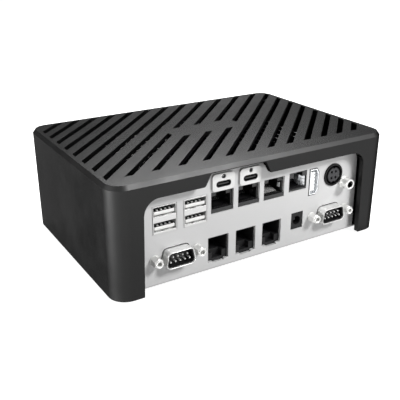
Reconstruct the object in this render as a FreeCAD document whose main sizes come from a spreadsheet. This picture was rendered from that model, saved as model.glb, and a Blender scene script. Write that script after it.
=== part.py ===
"""Fanless industrial PC: a cast housing over a sheet-metal chassis with two rows of connectors.

Frame: +Z up, +X to the right when the connectors face the viewer, -Y out of the
connector side. The origin is on the ground, below the middle of the housing.
Heights in the sheet are taken from the housing's lower rim, which stands above the
ground by the cell "stand".
"""
import FreeCAD, Part
import math
import os
import re

SIZES = {
    # housing
    "width": 176.0, "depth": 120.5, "height": 61.2, "corner": 9.7,
    "wall": 3.2, "roof": 2.6, "bevel_in": 1.6, "bevel_down": 2.1,
    "stand": 1.2, "post_side": 9.9, "post_round": 2.5,
    "jamb_low": 15.6, "jamb_high": 17.0, "lintel": 9.2, "opening_round": 8.5,
    "notch_at": -0.0943, "notch_low": 20.3, "notch_high": 16.8,
    # slots in the roof: all at 45 degrees, closest together in the two outer corners
    "slot_count": 20, "slot_width": 3.4, "slot_pitch": 14.83, "slot_shrink": 0.376,
    "slot_shift": 2.7, "slot_side": 3.9, "slot_front": 12.2, "slot_back": 3.7,
    "bare_x": 0.8, "bare_y": 2.8, "bare_width": 46.8, "bare_depth": 15.6,
    # chassis: base and connector plate, folded from one sheet
    "recess": 6.1, "sheet": 1.5, "base_lift": 0.3, "fold": 1.6, "tray_gap": 0.4,
    "plate_lap": 0.8, "plate_rise": 1.4, "plate_head": 0.8, "fit_gap": 0.1,
    # screws, nuts and feet
    "screw": 3.0, "screw_bore": 2.5, "screw_head": 5.6, "head_high": 1.9, "screw_free": 0.1,
    "base_screw_long": 8.0, "mount_x": 75.0, "mount_y": 75.0, "mount_thread": 4.0,
    "nut_flange": 7.0, "nut_long": 2.0,
    "foot_in_x": 24.0, "foot_in_y": 16.25, "foot_width": 14.0,
    # boards; the upper one's height is a share of the housing's
    "board_side": 15.5, "board_rear": 12.25, "board_gap": 0.75, "board_thick": 1.6,
    "lower_board": 22.1, "upper_share": 0.46242, "stand_side": 20.0, "stand_front": 22.65,
    "stand_rear": 19.25, "hex_flats": 5.5, "screw_grip": 5.2,
    # upper row: places across are shares of the width, heights are above the mainboard
    "usb_left_at": -0.325, "usb_right_at": -0.22386, "usb_wide": 13.3, "usb_high": 15.0,
    "usb_long": 17.6, "usb_port_wide": 12.5, "usb_port_high": 5.1, "usb_port_first": 1.2,
    "usb_port_step": 8.3, "usb_skin": 0.4, "usb_deep": 9.4, "proud": 0.4,
    "tongue_wide": 11.1, "tongue_thick": 2.0, "tongue_gap": 0.7, "tongue_back": 0.8,
    # locking sockets in the notch
    "lock_left_at": -0.12955, "lock_right_at": -0.03295, "lock_z": 19.6, "lock_wide": 13.6,
    "lock_low": 15.9, "lock_top": 25.3, "lock_thick": 1.1, "lock_round": 1.8,
    "lock_hole": 2.0, "lock_hole_z": 23.6, "lock_land": 0.7, "usb_c_wide": 8.94,
    "usb_c_high": 3.26, "usb_c_skin": 0.3, "usb_c_long": 8.6, "usb_c_tongue_wide": 6.69,
    "usb_c_tongue": 0.7, "usb_c_stem": 2.5, "riser_low": 16.4, "riser_thick": 1.57,
    "riser_side": 9.6, "riser_deep": 22.0, "riser_stand": 19.65, "riser_stand_in": 4.6,
    "riser_grip": 4.0,
    # network jacks
    "lan_first_at": -0.12955, "lan_step_at": 0.09631, "lan_apart": 0.75, "lan_long": 16.2,
    "lan_top": 16.3, "lan_window_wide": 14.0, "lan_window_low": 3.4, "lan_window_top": 15.4,
    "lan_last_at": 0.15739, "lan_last_wide": 12.6, "lan_last_low": 4.7, "lan_last_top": 15.9,
    "plug_wide": 11.8, "plug_high": 6.8, "plug_floor": 5.7, "plug_deep": 13.0,
    "latch_wide": 6.2, "latch_high": 2.8, "wire_pitch": 1.02, "wire_wide": 0.45,
    "wire_thick": 0.3, "wire_long": 8.5, "wire_slope": 11.0, "wire_in": 3.0,
    "wire_clear": 0.15, "shield_skin": 0.25, "shield_clear": 0.3, "face_set": 0.3,
    # video socket, power socket and audio socket
    "video_at": 0.22443, "video_wide": 6.2, "video_high": 15.2, "video_skin": 0.4,
    "video_long": 11.0, "video_cut_x": 1.5, "video_cut_z": 2.6, "video_tongue": 1.0,
    "video_stem": 3.0, "video_tongue_side": 2.0,
    "power_at": 0.30568, "power_z": 9.1, "power_ring": 13.5, "power_skin": 1.1,
    "power_core": 9.4, "power_proud": 0.6, "power_deep": 8.0, "power_long": 15.0,
    "power_foot": 9.0, "power_pin_x": 1.5, "power_pin_z": 1.8, "power_pin": 1.5,
    "power_sleeve": 2.0, "power_key": 1.9, "audio_at": 0.35455, "audio_z": 3.0,
    "audio_bush": 6.2, "audio_bore": 3.6, "audio_flange": 7.2, "audio_flange_thick": 1.2,
    "audio_body_left": 2.4, "audio_body_right": 6.0, "audio_body_top": 2.4, "audio_long": 12.0,
    # serial sockets in the lower row; heights are above the housing's rim again
    "com_left_at": -0.2892, "com_right_at": 0.29432, "com_z": 15.8, "com_wide": 16.92,
    "com_high": 8.36, "com_skin": 0.45, "com_round": 2.2, "com_slope": 10.0, "com_proud": 5.8,
    "com_flange_wide": 30.8, "com_flange_high": 12.5, "com_flange": 1.0, "com_cut": 0.45,
    "com_face": 5.6, "com_rear": 8.5, "com_pin": 1.02, "com_pin_step": 2.77,
    "com_pin_row": 2.84, "com_pin_in": 1.2, "jack_spacing": 24.99, "jack_flats": 4.8,
    "jack_long": 6.1, "jack_bore": 2.6, "jack_bore_deep": 4.6, "jack_stud": 2.7,
    "jack_free": 0.25, "jack_tail": 4.5, "jack_nut": 2.0,
    # plain jacks in the lower row
    "port_first_at": -0.14261, "port_step_at": 0.10114, "port_apart": 1.8, "port_low": 4.0,
    "port_window_wide": 13.0, "port_window_low": 5.4, "port_window_top": 19.8,
    "port_latch_wide": 7.5, "port_latch_low": 4.5, "port_floor": 10.0, "port_roof": 18.6,
    "port_channel": 6.4, "port_channel_deep": 3.5,
    # small switch socket
    "switch_at": 0.1625, "switch_z": 15.8, "switch_wide": 8.6, "switch_high": 10.4,
    "switch_long": 11.0, "switch_bore": 5.4, "switch_deep": 6.0, "switch_post": 1.6,
    "switch_post_long": 4.0,
    # processor and heat sink
    "chip_at": -0.045, "chip_side": 26.0, "chip_thick": 1.2,
    "die_side": 12.0, "die_thick": 0.5, "pad_side": 16.0, "pad_thick": 0.5,
    "sink_side": 32.0, "sink_front": 26.65, "sink_base": 8.5, "sink_thick": 4.0,
    "sink_under": 4.0, "fin_thick": 1.5, "fin_count": 20,
    "pedestal_side": 20.0, "leg_width": 7.0, "leg_in": 4.0, "leg_rear": 4.0,
    "sink_screw_long": 6.5,
    # memory, storage and clock cell
    "memory_clear": 1.5, "memory_wide": 30.0, "memory_long": 67.6, "memory_thick": 1.0,
    "memory_lift": 2.6, "memory_groove": 2.0, "memory_play": 0.1, "memory_arm": 3.0,
    "memory_socket": 6.0, "memory_socket_high": 4.0, "memory_chip": 8.5,
    "memory_chip_long": 10.5, "memory_chip_thick": 1.0,
    "ssd_at": -0.2557, "ssd_wide": 22.0, "ssd_long": 42.0, "ssd_thick": 0.8,
    "ssd_lift": 1.9, "ssd_groove": 2.0, "ssd_socket": 6.4, "ssd_socket_high": 4.0,
    "ssd_post": 4.0, "ssd_chip": 12.0, "ssd_chip_thick": 1.2,
    "cell_side": 11.5, "cell_width": 20.0, "cell_thick": 3.2, "cell_wall": 1.2,
    "cell_lift": 1.2, "cell_play": 0.2, "cell_proud": 0.6,
    # parts on the lower board
    "link_gap": 7.0, "link_wide": 46.0, "link_deep": 6.0,
    "choke_side": 12.0, "choke_high": 8.0, "choke_at": 0.3295, "choke_gap": 3.2,
    "choke_step": 15.0, "can_width": 10.0, "can_high": 12.5, "can_at": 0.22727,
    "can_gap": 11.0, "can_step": 12.5,
}

doc = FreeCAD.newDocument("fanless_industrial_pc")
sheet = doc.addObject("Spreadsheet::Sheet", "sizes")
for row, (alias, value) in enumerate(SIZES.items(), start=1):
    sheet.set(f"A{row}", alias)
    sheet.set(f"B{row}", str(value))
    sheet.setAlias(f"B{row}", alias)
doc.recompute()


class Sizes:
    """The sheet's values as plain numbers, for outlines that are worked out in code."""

    def __getattr__(self, alias):
        return float(sheet.get(alias))


size = Sizes()
finished = []

# expressions that several pieces share
FACE = "(-depth / 2 + recess)"                 # front of the connector plate
BACK = "(-depth / 2 + recess + sheet)"         # back of the connector plate
BASE = "(stand + base_lift)"                   # underside of the base
FLOOR = "(stand + base_lift + sheet)"          # top of the base
LOWER = "(stand + lower_board)"                # underside of the lower board
MAIN = "(stand + upper_share * height)"        # underside of the mainboard
UPPER = f"({MAIN} + board_thick)"              # top of the mainboard
CEILING = "(stand + height - roof)"            # underside of the roof
BOARD_HALF = "(width / 2 - board_side)"
BOARD_BACK = "(depth / 2 - board_rear)"
STAND_FRONT = f"({BACK} + stand_front)"
STAND_BACK = "(depth / 2 - stand_rear)"
SINK_HALF = "(width / 2 - sink_side)"
SINK_FRONT = f"({BACK} + sink_front)"
MIDDLE = f"(({BACK} + lan_long + depth / 2 - wall) / 2)"   # middle of the space behind the jacks

ALONG = {
    "X": FreeCAD.Rotation(FreeCAD.Vector(0, 1, 0), 90),
    "Y": FreeCAD.Rotation(FreeCAD.Vector(1, 0, 0), -90),
    "Z": FreeCAD.Rotation(),
}


def bound(text):
    """Turn a formula in cell names into an expression on the sheet."""
    return re.sub(r"[a-z]\w*", lambda word: f"sizes.{word[0]}" if word[0] in SIZES else word[0], text)


def bind(item, **formulas):
    for name, formula in formulas.items():
        item.setExpression(name.replace("__", "."), bound(str(formula)))


def place(item, x, y, z):
    bind(item, Placement__Base__x=x, Placement__Base__y=y, Placement__Base__z=z)


def box(x, y, z, length, width, height, name="block"):
    """A block from its lowest corner and its three sides."""
    item = doc.addObject("Part::Box", name)
    bind(item, Length=length, Width=width, Height=height)
    place(item, x, y, z)
    return item


def mid_box(x, y, z, length, width, height, name="block"):
    """A block whose x and y are its middle and whose z is its bottom."""
    return box(f"{x} - ({length}) / 2", f"{y} - ({width}) / 2", z, length, width, height, name)


def rod(x, y, z, diameter, length, axis="Z", name="rod"):
    """A round bar that starts at x, y, z and runs along the axis."""
    item = doc.addObject("Part::Cylinder", name)
    item.Placement = FreeCAD.Placement(FreeCAD.Vector(), ALONG[axis])
    bind(item, Radius=f"({diameter}) / 2", Height=length)
    place(item, x, y, z)
    return item


def cone(x, y, z, low, high, length, name="cone"):
    item = doc.addObject("Part::Cone", name)
    bind(item, Radius1=f"({low}) / 2", Radius2=f"({high}) / 2", Height=length)
    place(item, x, y, z)
    return item


def hexagon(x, y, z, flats, length, axis="Z", name="hexagon"):
    """A six-sided bar, given by its width across flats."""
    item = doc.addObject("Part::Prism", name)
    item.Polygon = 6
    item.Placement = FreeCAD.Placement(FreeCAD.Vector(), ALONG[axis])
    bind(item, Circumradius=f"({flats}) / sqrt(3)", Height=length)
    place(item, x, y, z)
    return item


def faceted(x, y, z, flats, length, axis="Z", name="faceted", sides=8):
    """A many-sided bar or bore, where a round one repeats or stays hidden."""
    item = hexagon(x, y, z, flats, length, axis, name)
    item.Polygon = sides
    bind(item, Circumradius=f"({flats}) / 2 / cos({180 / sides} deg)")
    return item


def fuse(items, name="joined"):
    item = doc.addObject("Part::MultiFuse", name)
    item.Shapes = items
    item.Refine = True
    return item


def cut(base, tools, name="cut"):
    item = doc.addObject("Part::Cut", name)
    item.Base = base
    item.Tool = tools[0] if len(tools) == 1 else fuse(tools, "tools")
    item.Refine = True
    return item


def group(items, name):
    item = doc.addObject("Part::Compound", name)
    item.Links = items
    return item


def keep(item, label):
    """Mark an object as a finished piece, whose label names its node."""
    item.Label = label
    finished.append(item)
    return item


def outline(corners):
    """Straight edges through the corners (x, y, radius), with an arc at each radius."""
    edges = []
    ends = []
    count = len(corners)
    for index, (x, y, radius) in enumerate(corners):
        here = FreeCAD.Vector(x, y, 0)
        back = FreeCAD.Vector(*corners[index - 1][:2], 0) - here
        ahead = FreeCAD.Vector(*corners[(index + 1) % count][:2], 0) - here
        if radius <= 0:
            ends.append((here, here))
            continue
        half = back.getAngle(ahead) / 2
        reach = radius / math.tan(half)
        back.normalize()
        ahead.normalize()
        bisector = (back + ahead).normalize()
        centre = here + bisector * (radius / math.sin(half))
        first = here + back * reach
        last = here + ahead * reach
        edges.append(Part.Arc(first, centre - bisector * radius, last))
        ends.append((first, last))
    for index in range(count):
        start = ends[index][1]
        stop = ends[(index + 1) % count][0]
        if start.distanceToPoint(stop) > 1e-6:
            edges.append(Part.LineSegment(start, stop))
    return edges


def ring(x, y, diameter):
    return [Part.Circle(FreeCAD.Vector(x, y, 0), FreeCAD.Vector(0, 0, 1), diameter / 2)]


def eight(x, y, flats):
    """Eight flat sides in place of a small round hole."""
    reach = flats / 2 / math.cos(math.pi / 8)
    turns = [index * math.pi / 4 for index in range(8)]
    return outline([(x + reach * math.cos(turn), y + reach * math.sin(turn), 0)
                    for turn in turns])


def sketch(body, role, loops, offset, name="profile"):
    """A sketch on one of the body's own planes, moved along its normal by offset."""
    item = body.newObject("Sketcher::SketchObject", name)
    plane = [plane for plane in body.Origin.OriginFeatures if plane.Role == role][0]
    item.AttachmentSupport = [(plane, "")]
    item.MapMode = "FlatFace"
    item.setExpression(".AttachmentOffset.Base.z", bound(str(offset)))
    for loop in loops:
        for edge in loop:
            item.addGeometry(edge, False)
    return item


def new_body(name):
    return doc.addObject("PartDesign::Body", name)


def pad(body, profile, length, away=False):
    item = body.newObject("PartDesign::Pad", "pad")
    item.Profile = profile
    item.Reversed = away
    bind(item, Length=length)
    return item


def pocket(body, profile, length, away=False):
    item = body.newObject("PartDesign::Pocket", "pocket")
    item.Profile = profile
    item.Reversed = away
    bind(item, Length=length)
    return item


def slab(role, loops, offset, length, name="slab", away=False):
    """A body of one pad. On XZ_Plane the normal is -Y, so offset counts towards the front."""
    body = new_body(name)
    pad(body, sketch(body, role, loops, offset), length, away)
    return body


def rounded(half_x, half_y, radius):
    return outline([(-half_x, -half_y, radius), (half_x, -half_y, radius),
                    (half_x, half_y, radius), (-half_x, half_y, radius)])


def upright(low_x, high_x, low_z, high_z, radius=0.0):
    return outline([(low_x, low_z, radius), (high_x, low_z, radius),
                    (high_x, high_z, radius), (low_x, high_z, radius)])


def lift(height):
    """A height above the rim, as a height above the ground."""
    return size.stand + height


def deck(height):
    """A height above the mainboard, as a height above the ground."""
    return size.stand + size.upper_share * size.height + size.board_thick + height


def across(alias):
    """A place across the front, from its share of the width."""
    return getattr(size, alias) * size.width


# ---------------------------------------------------------------- housing
def opening_outline(grow, rise, head, foot):
    """The front opening: drafted sides, round upper corners and a raised notch."""
    low = size.width / 2 - size.jamb_low + grow
    high = size.width / 2 - size.jamb_high + grow
    top = lift(size.height - size.lintel + rise)
    notch_top = lift(size.height - size.roof - head)
    notch = across("notch_at")
    left, right = notch - size.notch_low - grow, notch + size.notch_low + grow
    upper_left = notch - size.notch_high - grow
    upper_right = notch + size.notch_high + grow
    return outline([
        (-low, foot, 0), (low, foot, 0), (high, top, size.opening_round + grow), (right, top, 0),
        (upper_right, notch_top, 0), (upper_left, notch_top, 0), (left, top, 1.5),
        (-high, top, size.opening_round + grow)])


def inner_outline(half_x, half_y, side, radius):
    """The space inside the walls, with a square post left standing in each corner."""
    near_x, near_y = half_x - side, half_y - side
    quarter = [(half_x, near_y, radius), (near_x, near_y, radius), (near_x, half_y, radius)]
    points = quarter
    points = points + [(-x, y, r) for x, y, r in reversed(quarter)]
    points = points + [(-x, -y, r) for x, y, r in quarter]
    points = points + [(x, -y, r) for x, y, r in reversed(quarter)]
    return outline(points)


def slot_tool():
    """The roof's slots as one cutter: parallel bars, clipped to the slotted field."""
    left = -size.width / 2 + size.slot_side
    front = -size.depth / 2 + size.slot_front
    across = size.width - 2 * size.slot_side
    along = size.depth - size.slot_front - size.slot_back
    low = lift(size.height - size.roof) - 1.0
    deep = size.roof + 2.0
    field = Part.makeBox(across, along, deep, FreeCAD.Vector(left, front, low))
    bare = Part.makeBox(size.bare_width, size.bare_depth, deep, FreeCAD.Vector(
        size.bare_x - size.bare_width / 2, size.bare_y - size.bare_depth / 2, low))
    field = field.cut(bare)
    reach = size.width + size.depth
    bars = []
    count = int(size.slot_count)
    for index in range(count):
        step = index - (count - 1) / 2
        offset = size.slot_pitch * step - size.slot_shrink / 2 * step * abs(step)
        bar = Part.makeBox(reach, size.slot_width, deep,
                           FreeCAD.Vector(-reach / 2, -size.slot_width / 2, low))
        bar.rotate(FreeCAD.Vector(), FreeCAD.Vector(0, 0, 1), 45)
        bar.translate(FreeCAD.Vector(0, size.slot_shift + offset, 0))
        bars.append(bar)
    item = doc.addObject("Part::Feature", "slots")
    item.Shape = field.common(Part.makeCompound(bars))
    return item


def make_housing():
    half_x, half_y = size.width / 2, size.depth / 2
    body = new_body("casting")
    wall_top = "stand + height - bevel_down"
    pad(body, sketch(body, "XY_Plane", [rounded(half_x, half_y, size.corner)], "stand"),
        "height - bevel_down")
    bevel = body.newObject("PartDesign::AdditiveLoft", "bevel")
    bevel.Profile = sketch(body, "XY_Plane", [rounded(half_x, half_y, size.corner)], wall_top)
    inset = rounded(half_x - size.bevel_in, half_y - size.bevel_in, size.corner - size.bevel_in)
    bevel.Sections = [sketch(body, "XY_Plane", [inset], "stand + height")]
    bevel.Ruled = True
    inner_x, inner_y = half_x - size.wall, half_y - size.wall
    space = inner_outline(inner_x, inner_y, size.post_side, size.post_round)
    pocket(body, sketch(body, "XY_Plane", [space], CEILING), "height - roof")
    seat = rounded(inner_x, inner_y, size.corner - size.wall)
    pocket(body, sketch(body, "XY_Plane", [seat], FLOOR), "base_lift + sheet")
    front = opening_outline(0, 0, 0, size.stand - 1.0)
    pocket(body, sketch(body, "XZ_Plane", [front], "depth / 2 + 1"), "wall + 1")
    bores = [faceted(f"{sx} * (width / 2 - corner)", f"{sy} * (depth / 2 - corner)", FLOOR,
                     "screw_bore", "base_screw_long + 1") for sx in (-1, 1) for sy in (-1, 1)]
    keep(cut(body, [slot_tool()] + bores, "housing"), "housing")


# ---------------------------------------------------------------- chassis
def com_outline(grow, drop=0.0):
    """The D shape of a nine-pole socket, its wide side down."""
    slope = math.tan(math.radians(size.com_slope))
    high = size.com_high / 2 + grow
    mean = size.com_wide / 2 - size.com_high / 2 * slope + grow
    wide, narrow = mean + high * slope, mean - high * slope
    radius = size.com_round + grow
    return [(-wide, -high - drop, radius), (wide, -high - drop, radius),
            (narrow, high, radius), (-narrow, high, radius)]


def shifted(points, x, z):
    return outline([(px + x, pz + lift(z), radius) for px, pz, radius in points])


def video_outline(grow):
    """The video socket on its side: the two right-hand corners are cut."""
    half_x, half_z = size.video_wide / 2 + grow, size.video_high / 2 + grow
    x, z = across("video_at"), deck(size.video_high / 2)
    cut_x, cut_z = size.video_cut_x, size.video_cut_z
    return outline([
        (x - half_x, z - half_z, 0), (x + half_x - cut_x, z - half_z, 0),
        (x + half_x, z - half_z + cut_z, 0), (x + half_x, z + half_z - cut_z, 0),
        (x + half_x - cut_x, z + half_z, 0), (x - half_x, z + half_z, 0)])


def plate_windows():
    """Every hole in the connector plate, from the values of what passes through it."""
    gap = size.fit_gap
    loops = []
    for side in ("left", "right"):
        x = across(f"usb_{side}_at")
        half = size.usb_wide / 2 + gap
        loops.append(upright(x - half, x + half, deck(-gap), deck(size.usb_high + gap)))
        x = across(f"lock_{side}_at")
        loops.append(lock_boss(x, gap))
        loops.append(eight(x, deck(size.lock_hole_z), size.lock_hole + 2 * size.screw_free))
        x = across(f"com_{side}_at")
        loops.append(shifted(com_outline(size.com_skin + size.com_cut), x, size.com_z))
        for step in (-0.5, 0.5):
            loops.append(eight(x + step * size.jack_spacing, lift(size.com_z),
                               size.jack_stud + 2 * size.jack_free))
    half = size.lan_window_wide / 2
    for index in range(3):
        x = across("lan_first_at") + index * across("lan_step_at")
        loops.append(upright(x - half, x + half, deck(size.lan_window_low),
                             deck(size.lan_window_top)))
    x, half = across("lan_last_at"), size.lan_last_wide / 2
    loops.append(upright(x - half, x + half, deck(size.lan_last_low), deck(size.lan_last_top)))
    loops.append(video_outline(gap))
    loops.append(ring(across("power_at"), deck(size.power_z),
                      size.power_ring + 2 * size.screw_free))
    loops.append(ring(across("audio_at"), deck(size.audio_z),
                      size.audio_bush + 2 * size.screw_free))
    half, latch = size.port_window_wide / 2, size.port_latch_wide / 2
    low, step, top = (lift(size.port_window_low), lift(size.port_latch_low),
                      lift(size.port_window_top))
    for index in range(3):
        x = across("port_first_at") + index * across("port_step_at")
        loops.append(outline([
            (x - half, low, 0), (x - latch, low, 0), (x - latch, step, 0), (x + latch, step, 0),
            (x + latch, low, 0), (x + half, low, 0), (x + half, top, 0), (x - half, top, 0)]))
    x, half_x, half_z = across("switch_at"), size.switch_wide / 2, size.switch_high / 2
    loops.append(upright(x - half_x, x + half_x, lift(size.switch_z) - half_z,
                         lift(size.switch_z) + half_z))
    return loops


def make_chassis():
    front, back = -size.depth / 2 + size.recess, size.depth / 2 - size.wall - size.tray_gap
    side = size.width / 2 - size.wall - size.tray_gap
    rear_round = size.corner - size.wall - size.tray_gap
    body = new_body("folded_sheet")
    front_round = size.corner - size.recess
    base = outline([(-side, front, front_round), (side, front, front_round),
                    (side, back, rear_round),
                    (-side, back, rear_round)])
    pad(body, sketch(body, "XY_Plane", [base], BASE), "sheet")
    plate = opening_outline(size.plate_lap, size.plate_rise, size.plate_head,
                            lift(size.base_lift))
    pad(body, sketch(body, "XZ_Plane", [plate], "depth / 2 - recess"), "sheet", away=True)
    pocket(body, sketch(body, "XZ_Plane", plate_windows(), "depth / 2 - recess + 1"), "sheet + 2")
    tools = []
    for sx in (-1, 1):
        for sy in (-1, 1):
            x, y = f"{sx} * (width / 2 - corner)", f"{sy} * (depth / 2 - corner)"
            tools.append(cone(x, y, BASE, "screw_head + 2 * screw_free", "screw + 2 * screw_free",
                              "sheet"))
            tools.append(faceted(f"{sx} * mount_x / 2", f"{sy} * mount_y / 2", BASE,
                                 "mount_thread + 2 * screw_free", "sheet"))
    # the outside of the fold is round: a square strip is taken off and a quarter bar put back
    fold_low = "(stand + base_lift)"
    strip = box("-width", FACE, fold_low, "2 * width", "fold", "fold")
    bar = rod("-width", f"{FACE} + fold", f"{fold_low} + fold", "2 * fold", "2 * width", "X")
    tools.append(cut(strip, [bar]))
    keep(cut(body, tools, "chassis_plate"), "chassis_plate")


def make_base_fasteners():
    screws = []
    nuts = []
    feet = []
    for sx in (-1, 1):
        for sy in (-1, 1):
            x, y = f"{sx} * (width / 2 - corner)", f"{sy} * (depth / 2 - corner)"
            head = cone(x, y, BASE, "screw_head", "screw_bore", "sheet")
            shank = faceted(x, y, BASE, "screw_bore - 4 * screw_free", "base_screw_long + sheet")
            socket = hexagon(x, y, BASE, "2.0", "0.9")
            screws.append(cut(fuse([head, shank]), [socket]))
            x, y = f"{sx} * mount_x / 2", f"{sy} * mount_y / 2"
            flange = hexagon(x, y, FLOOR, "nut_flange", "nut_long")
            thread = rod(x, y, FLOOR, "mount_thread - 0.7", "nut_long")
            nuts.append(cut(flange, [thread]))
            x, y = f"{sx} * (width / 2 - foot_in_x)", f"{sy} * (depth / 2 - foot_in_y)"
            feet.append(faceted(x, y, "0", "foot_width", "stand + base_lift", sides=24))
    keep(group(screws, "base_screws"), "base_screws")
    keep(group(nuts, "mount_nuts"), "mount_nuts")
    keep(group(feet, "feet"), "feet")


# ---------------------------------------------------------------- boards
def make_boards():
    front = f"({BACK} + board_gap)"
    corner = "(width / 2 - stand_side)"
    holes = [(f"{sx} * {corner}", y) for sx in (-1, 1) for y in (STAND_FRONT, STAND_BACK)]
    legs = sink_legs()
    riser_holes = riser_stands()
    bore = "screw + 2 * screw_free"
    for label, low, drilled in (("io_board", LOWER, holes), ("mainboard", MAIN, holes + legs)):
        plank = box(f"-{BOARD_HALF}", front, low, f"2 * {BOARD_HALF}", f"{BOARD_BACK} - {front}",
                    "board_thick")
        tools = [faceted(x, y, low, bore, "board_thick") for x, y in drilled]
        keep(cut(plank, tools, label), label)
    riser_low = f"({UPPER} + riser_low)"
    riser = box("lock_left_at * width - riser_side", front, riser_low,
                "(lock_right_at - lock_left_at) * width + 2 * riser_side", "riser_deep",
                "riser_thick")
    tools = [faceted(x, y, riser_low, bore, "riser_thick") for x, y in riser_holes]
    keep(cut(riser, tools, "usb_c_board"), "usb_c_board")

    posts = []
    for places, low, high, deep in ((holes, FLOOR, LOWER, "(screw_grip + 2)"),
                                    (riser_holes, UPPER, riser_low, "(riser_grip + 1)")):
        for x, y in places:
            posts.append(cut(hexagon(x, y, low, "hex_flats", f"{high} - {low}"),
                             [faceted(x, y, f"{high} - {deep}", bore, deep)]))
    keep(group(posts, "standoffs"), "standoffs")

    gap_low = f"({LOWER} + board_thick)"
    gap_high = f"({MAIN} - {gap_low})"
    spacers = [cut(hexagon(x, y, gap_low, "hex_flats", gap_high),
                   [faceted(x, y, gap_low, bore, gap_high)]) for x, y in holes]
    keep(group(spacers, "spacers"), "spacers")

    screws = [hex_screw(x, y, UPPER, f"{UPPER} - {LOWER} + screw_grip", down=True)
              for x, y in holes]
    screws += [hex_screw(x, y, f"({riser_low} + riser_thick)", "riser_thick + riser_grip",
                         down=True) for x, y in riser_holes]
    screws += [hex_screw(x, y, MAIN, "sink_screw_long", down=False) for x, y in legs]
    keep(group(screws, "board_screws"), "board_screws")
    keep(mid_box("0", f"({STAND_BACK} - link_gap)", gap_low, "link_wide", "link_deep", gap_high,
                 "link"), "board_connector")


def hex_screw(x, y, seat, length, down):
    """A hexagon-head screw whose head sits on the seat, with its shank up or down."""
    head_z = seat if down else f"{seat} - head_high"
    shank_z = f"{seat} - ({length})" if down else seat
    return fuse([hexagon(x, y, head_z, "hex_flats", "head_high"),
                 faceted(x, y, shank_z, "screw", length)])


def riser_stands():
    y = f"({BACK} + riser_stand)"
    return [("lock_left_at * width - riser_side + riser_stand_in", y),
            ("lock_right_at * width + riser_side - riser_stand_in", y)]


def sink_legs():
    return [(f"{sx} * ({SINK_HALF} - leg_in)", y) for sx in (-1, 1)
            for y in (f"({SINK_FRONT} + leg_in)", f"({BOARD_BACK} - leg_in - leg_rear)")]


# ---------------------------------------------------------------- upper row
def make_usb(side):
    x = f"(usb_{side}_at * width)"
    front = f"({FACE} - proud)"
    first = f"({UPPER} + usb_port_first)"
    shell = mid_box(x, f"{front} + usb_long / 2", UPPER, "usb_wide", "usb_long", "usb_high")
    ports = [box(f"{x} - usb_port_wide / 2", front, f"{first} + {step} * usb_port_step",
                 "usb_port_wide", "usb_long - usb_skin", "usb_port_high") for step in (0, 1)]
    keep(cut(shell, ports, f"usb_shell_{side}"), f"usb_shell_{side}")
    inserts = []
    for step in (0, 1):
        low = f"({first} + {step} * usb_port_step)"
        inserts.append(fuse([
            box(f"{x} - usb_port_wide / 2", f"{front} + usb_deep", low, "usb_port_wide",
                "usb_long - usb_skin - usb_deep", "usb_port_high"),
            box(f"{x} - tongue_wide / 2", f"{front} + tongue_back", f"{low} + tongue_gap",
                "tongue_wide", "usb_deep - tongue_back", "tongue_thick")]))
    keep(group(inserts, f"usb_insert_{side}"), f"usb_insert_{side}")


def pill(x, z, width, height):
    """A flat slot with round ends, lying along X."""
    radius = height / 2 - 0.01
    return upright(x - width / 2, x + width / 2, z - height / 2, z + height / 2, radius)


def lock_boss(x, gap):
    """The block behind the tab, which passes through the plate round the socket's shell."""
    half = size.usb_c_wide / 2 + size.lock_land + gap
    tall = size.usb_c_high / 2 + size.lock_land + gap
    z = deck(size.lock_z)
    return upright(x - half, x + half, z - tall, z + tall)


def make_usb_c(side):
    x = across(f"lock_{side}_at")
    z = deck(size.lock_z)
    wide, high, skin = size.usb_c_wide, size.usb_c_high, size.usb_c_skin
    gap = size.screw_free
    edge = "depth / 2 - recess + lock_thick"
    window = pill(x, z, wide + 2 * gap, high + 2 * gap)
    hole = eight(x, deck(size.lock_hole_z), size.lock_hole)
    half = size.lock_wide / 2
    body = new_body("tab")
    flange = upright(x - half, x + half, deck(size.lock_low), deck(size.lock_top), size.lock_round)
    pad(body, sketch(body, "XZ_Plane", [flange, window, hole], "depth / 2 - recess"), "lock_thick")
    boss = lock_boss(x, 0)
    pad(body, sketch(body, "XZ_Plane", [boss, window], "depth / 2 - recess"), "sheet", away=True)
    keep(body, f"usb_c_tab_{side}")
    shell = slab("XZ_Plane", [pill(x, z, wide, high), pill(x, z, wide - 2 * skin, high - 2 * skin)],
                 edge, "usb_c_long", "usb_c_shell", away=True)
    keep(shell, f"usb_c_shell_{side}")
    body = new_body("usb_c_insert")
    stem = sketch(body, "XZ_Plane", [pill(x, z, wide - 2 * skin, high - 2 * skin)],
                  f"{edge} - usb_c_long")
    pad(body, stem, "usb_c_stem")
    tongue = upright(x - size.usb_c_tongue_wide / 2, x + size.usb_c_tongue_wide / 2,
                     z - size.usb_c_tongue / 2, z + size.usb_c_tongue / 2)
    pad(body, sketch(body, "XZ_Plane", [tongue], f"{edge} - usb_c_long + usb_c_stem"),
        "usb_c_long - usb_c_stem - proud")
    keep(body, f"usb_c_insert_{side}")


def jack_cavity(x, floor, deep, latch_up):
    """The space for the plug and, above or below it, the channel of its latch."""
    front = f"({FACE} - 1)"
    plug = box(f"{x} - plug_wide / 2", front, floor, "plug_wide", f"{deep} + 1", "plug_high")
    latch_z = f"{floor} + plug_high" if latch_up else f"{floor} - latch_high"
    latch = box(f"{x} - latch_wide / 2", front, latch_z, "latch_wide", f"{deep} + 1",
                "latch_high")
    return [plug, latch]


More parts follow.
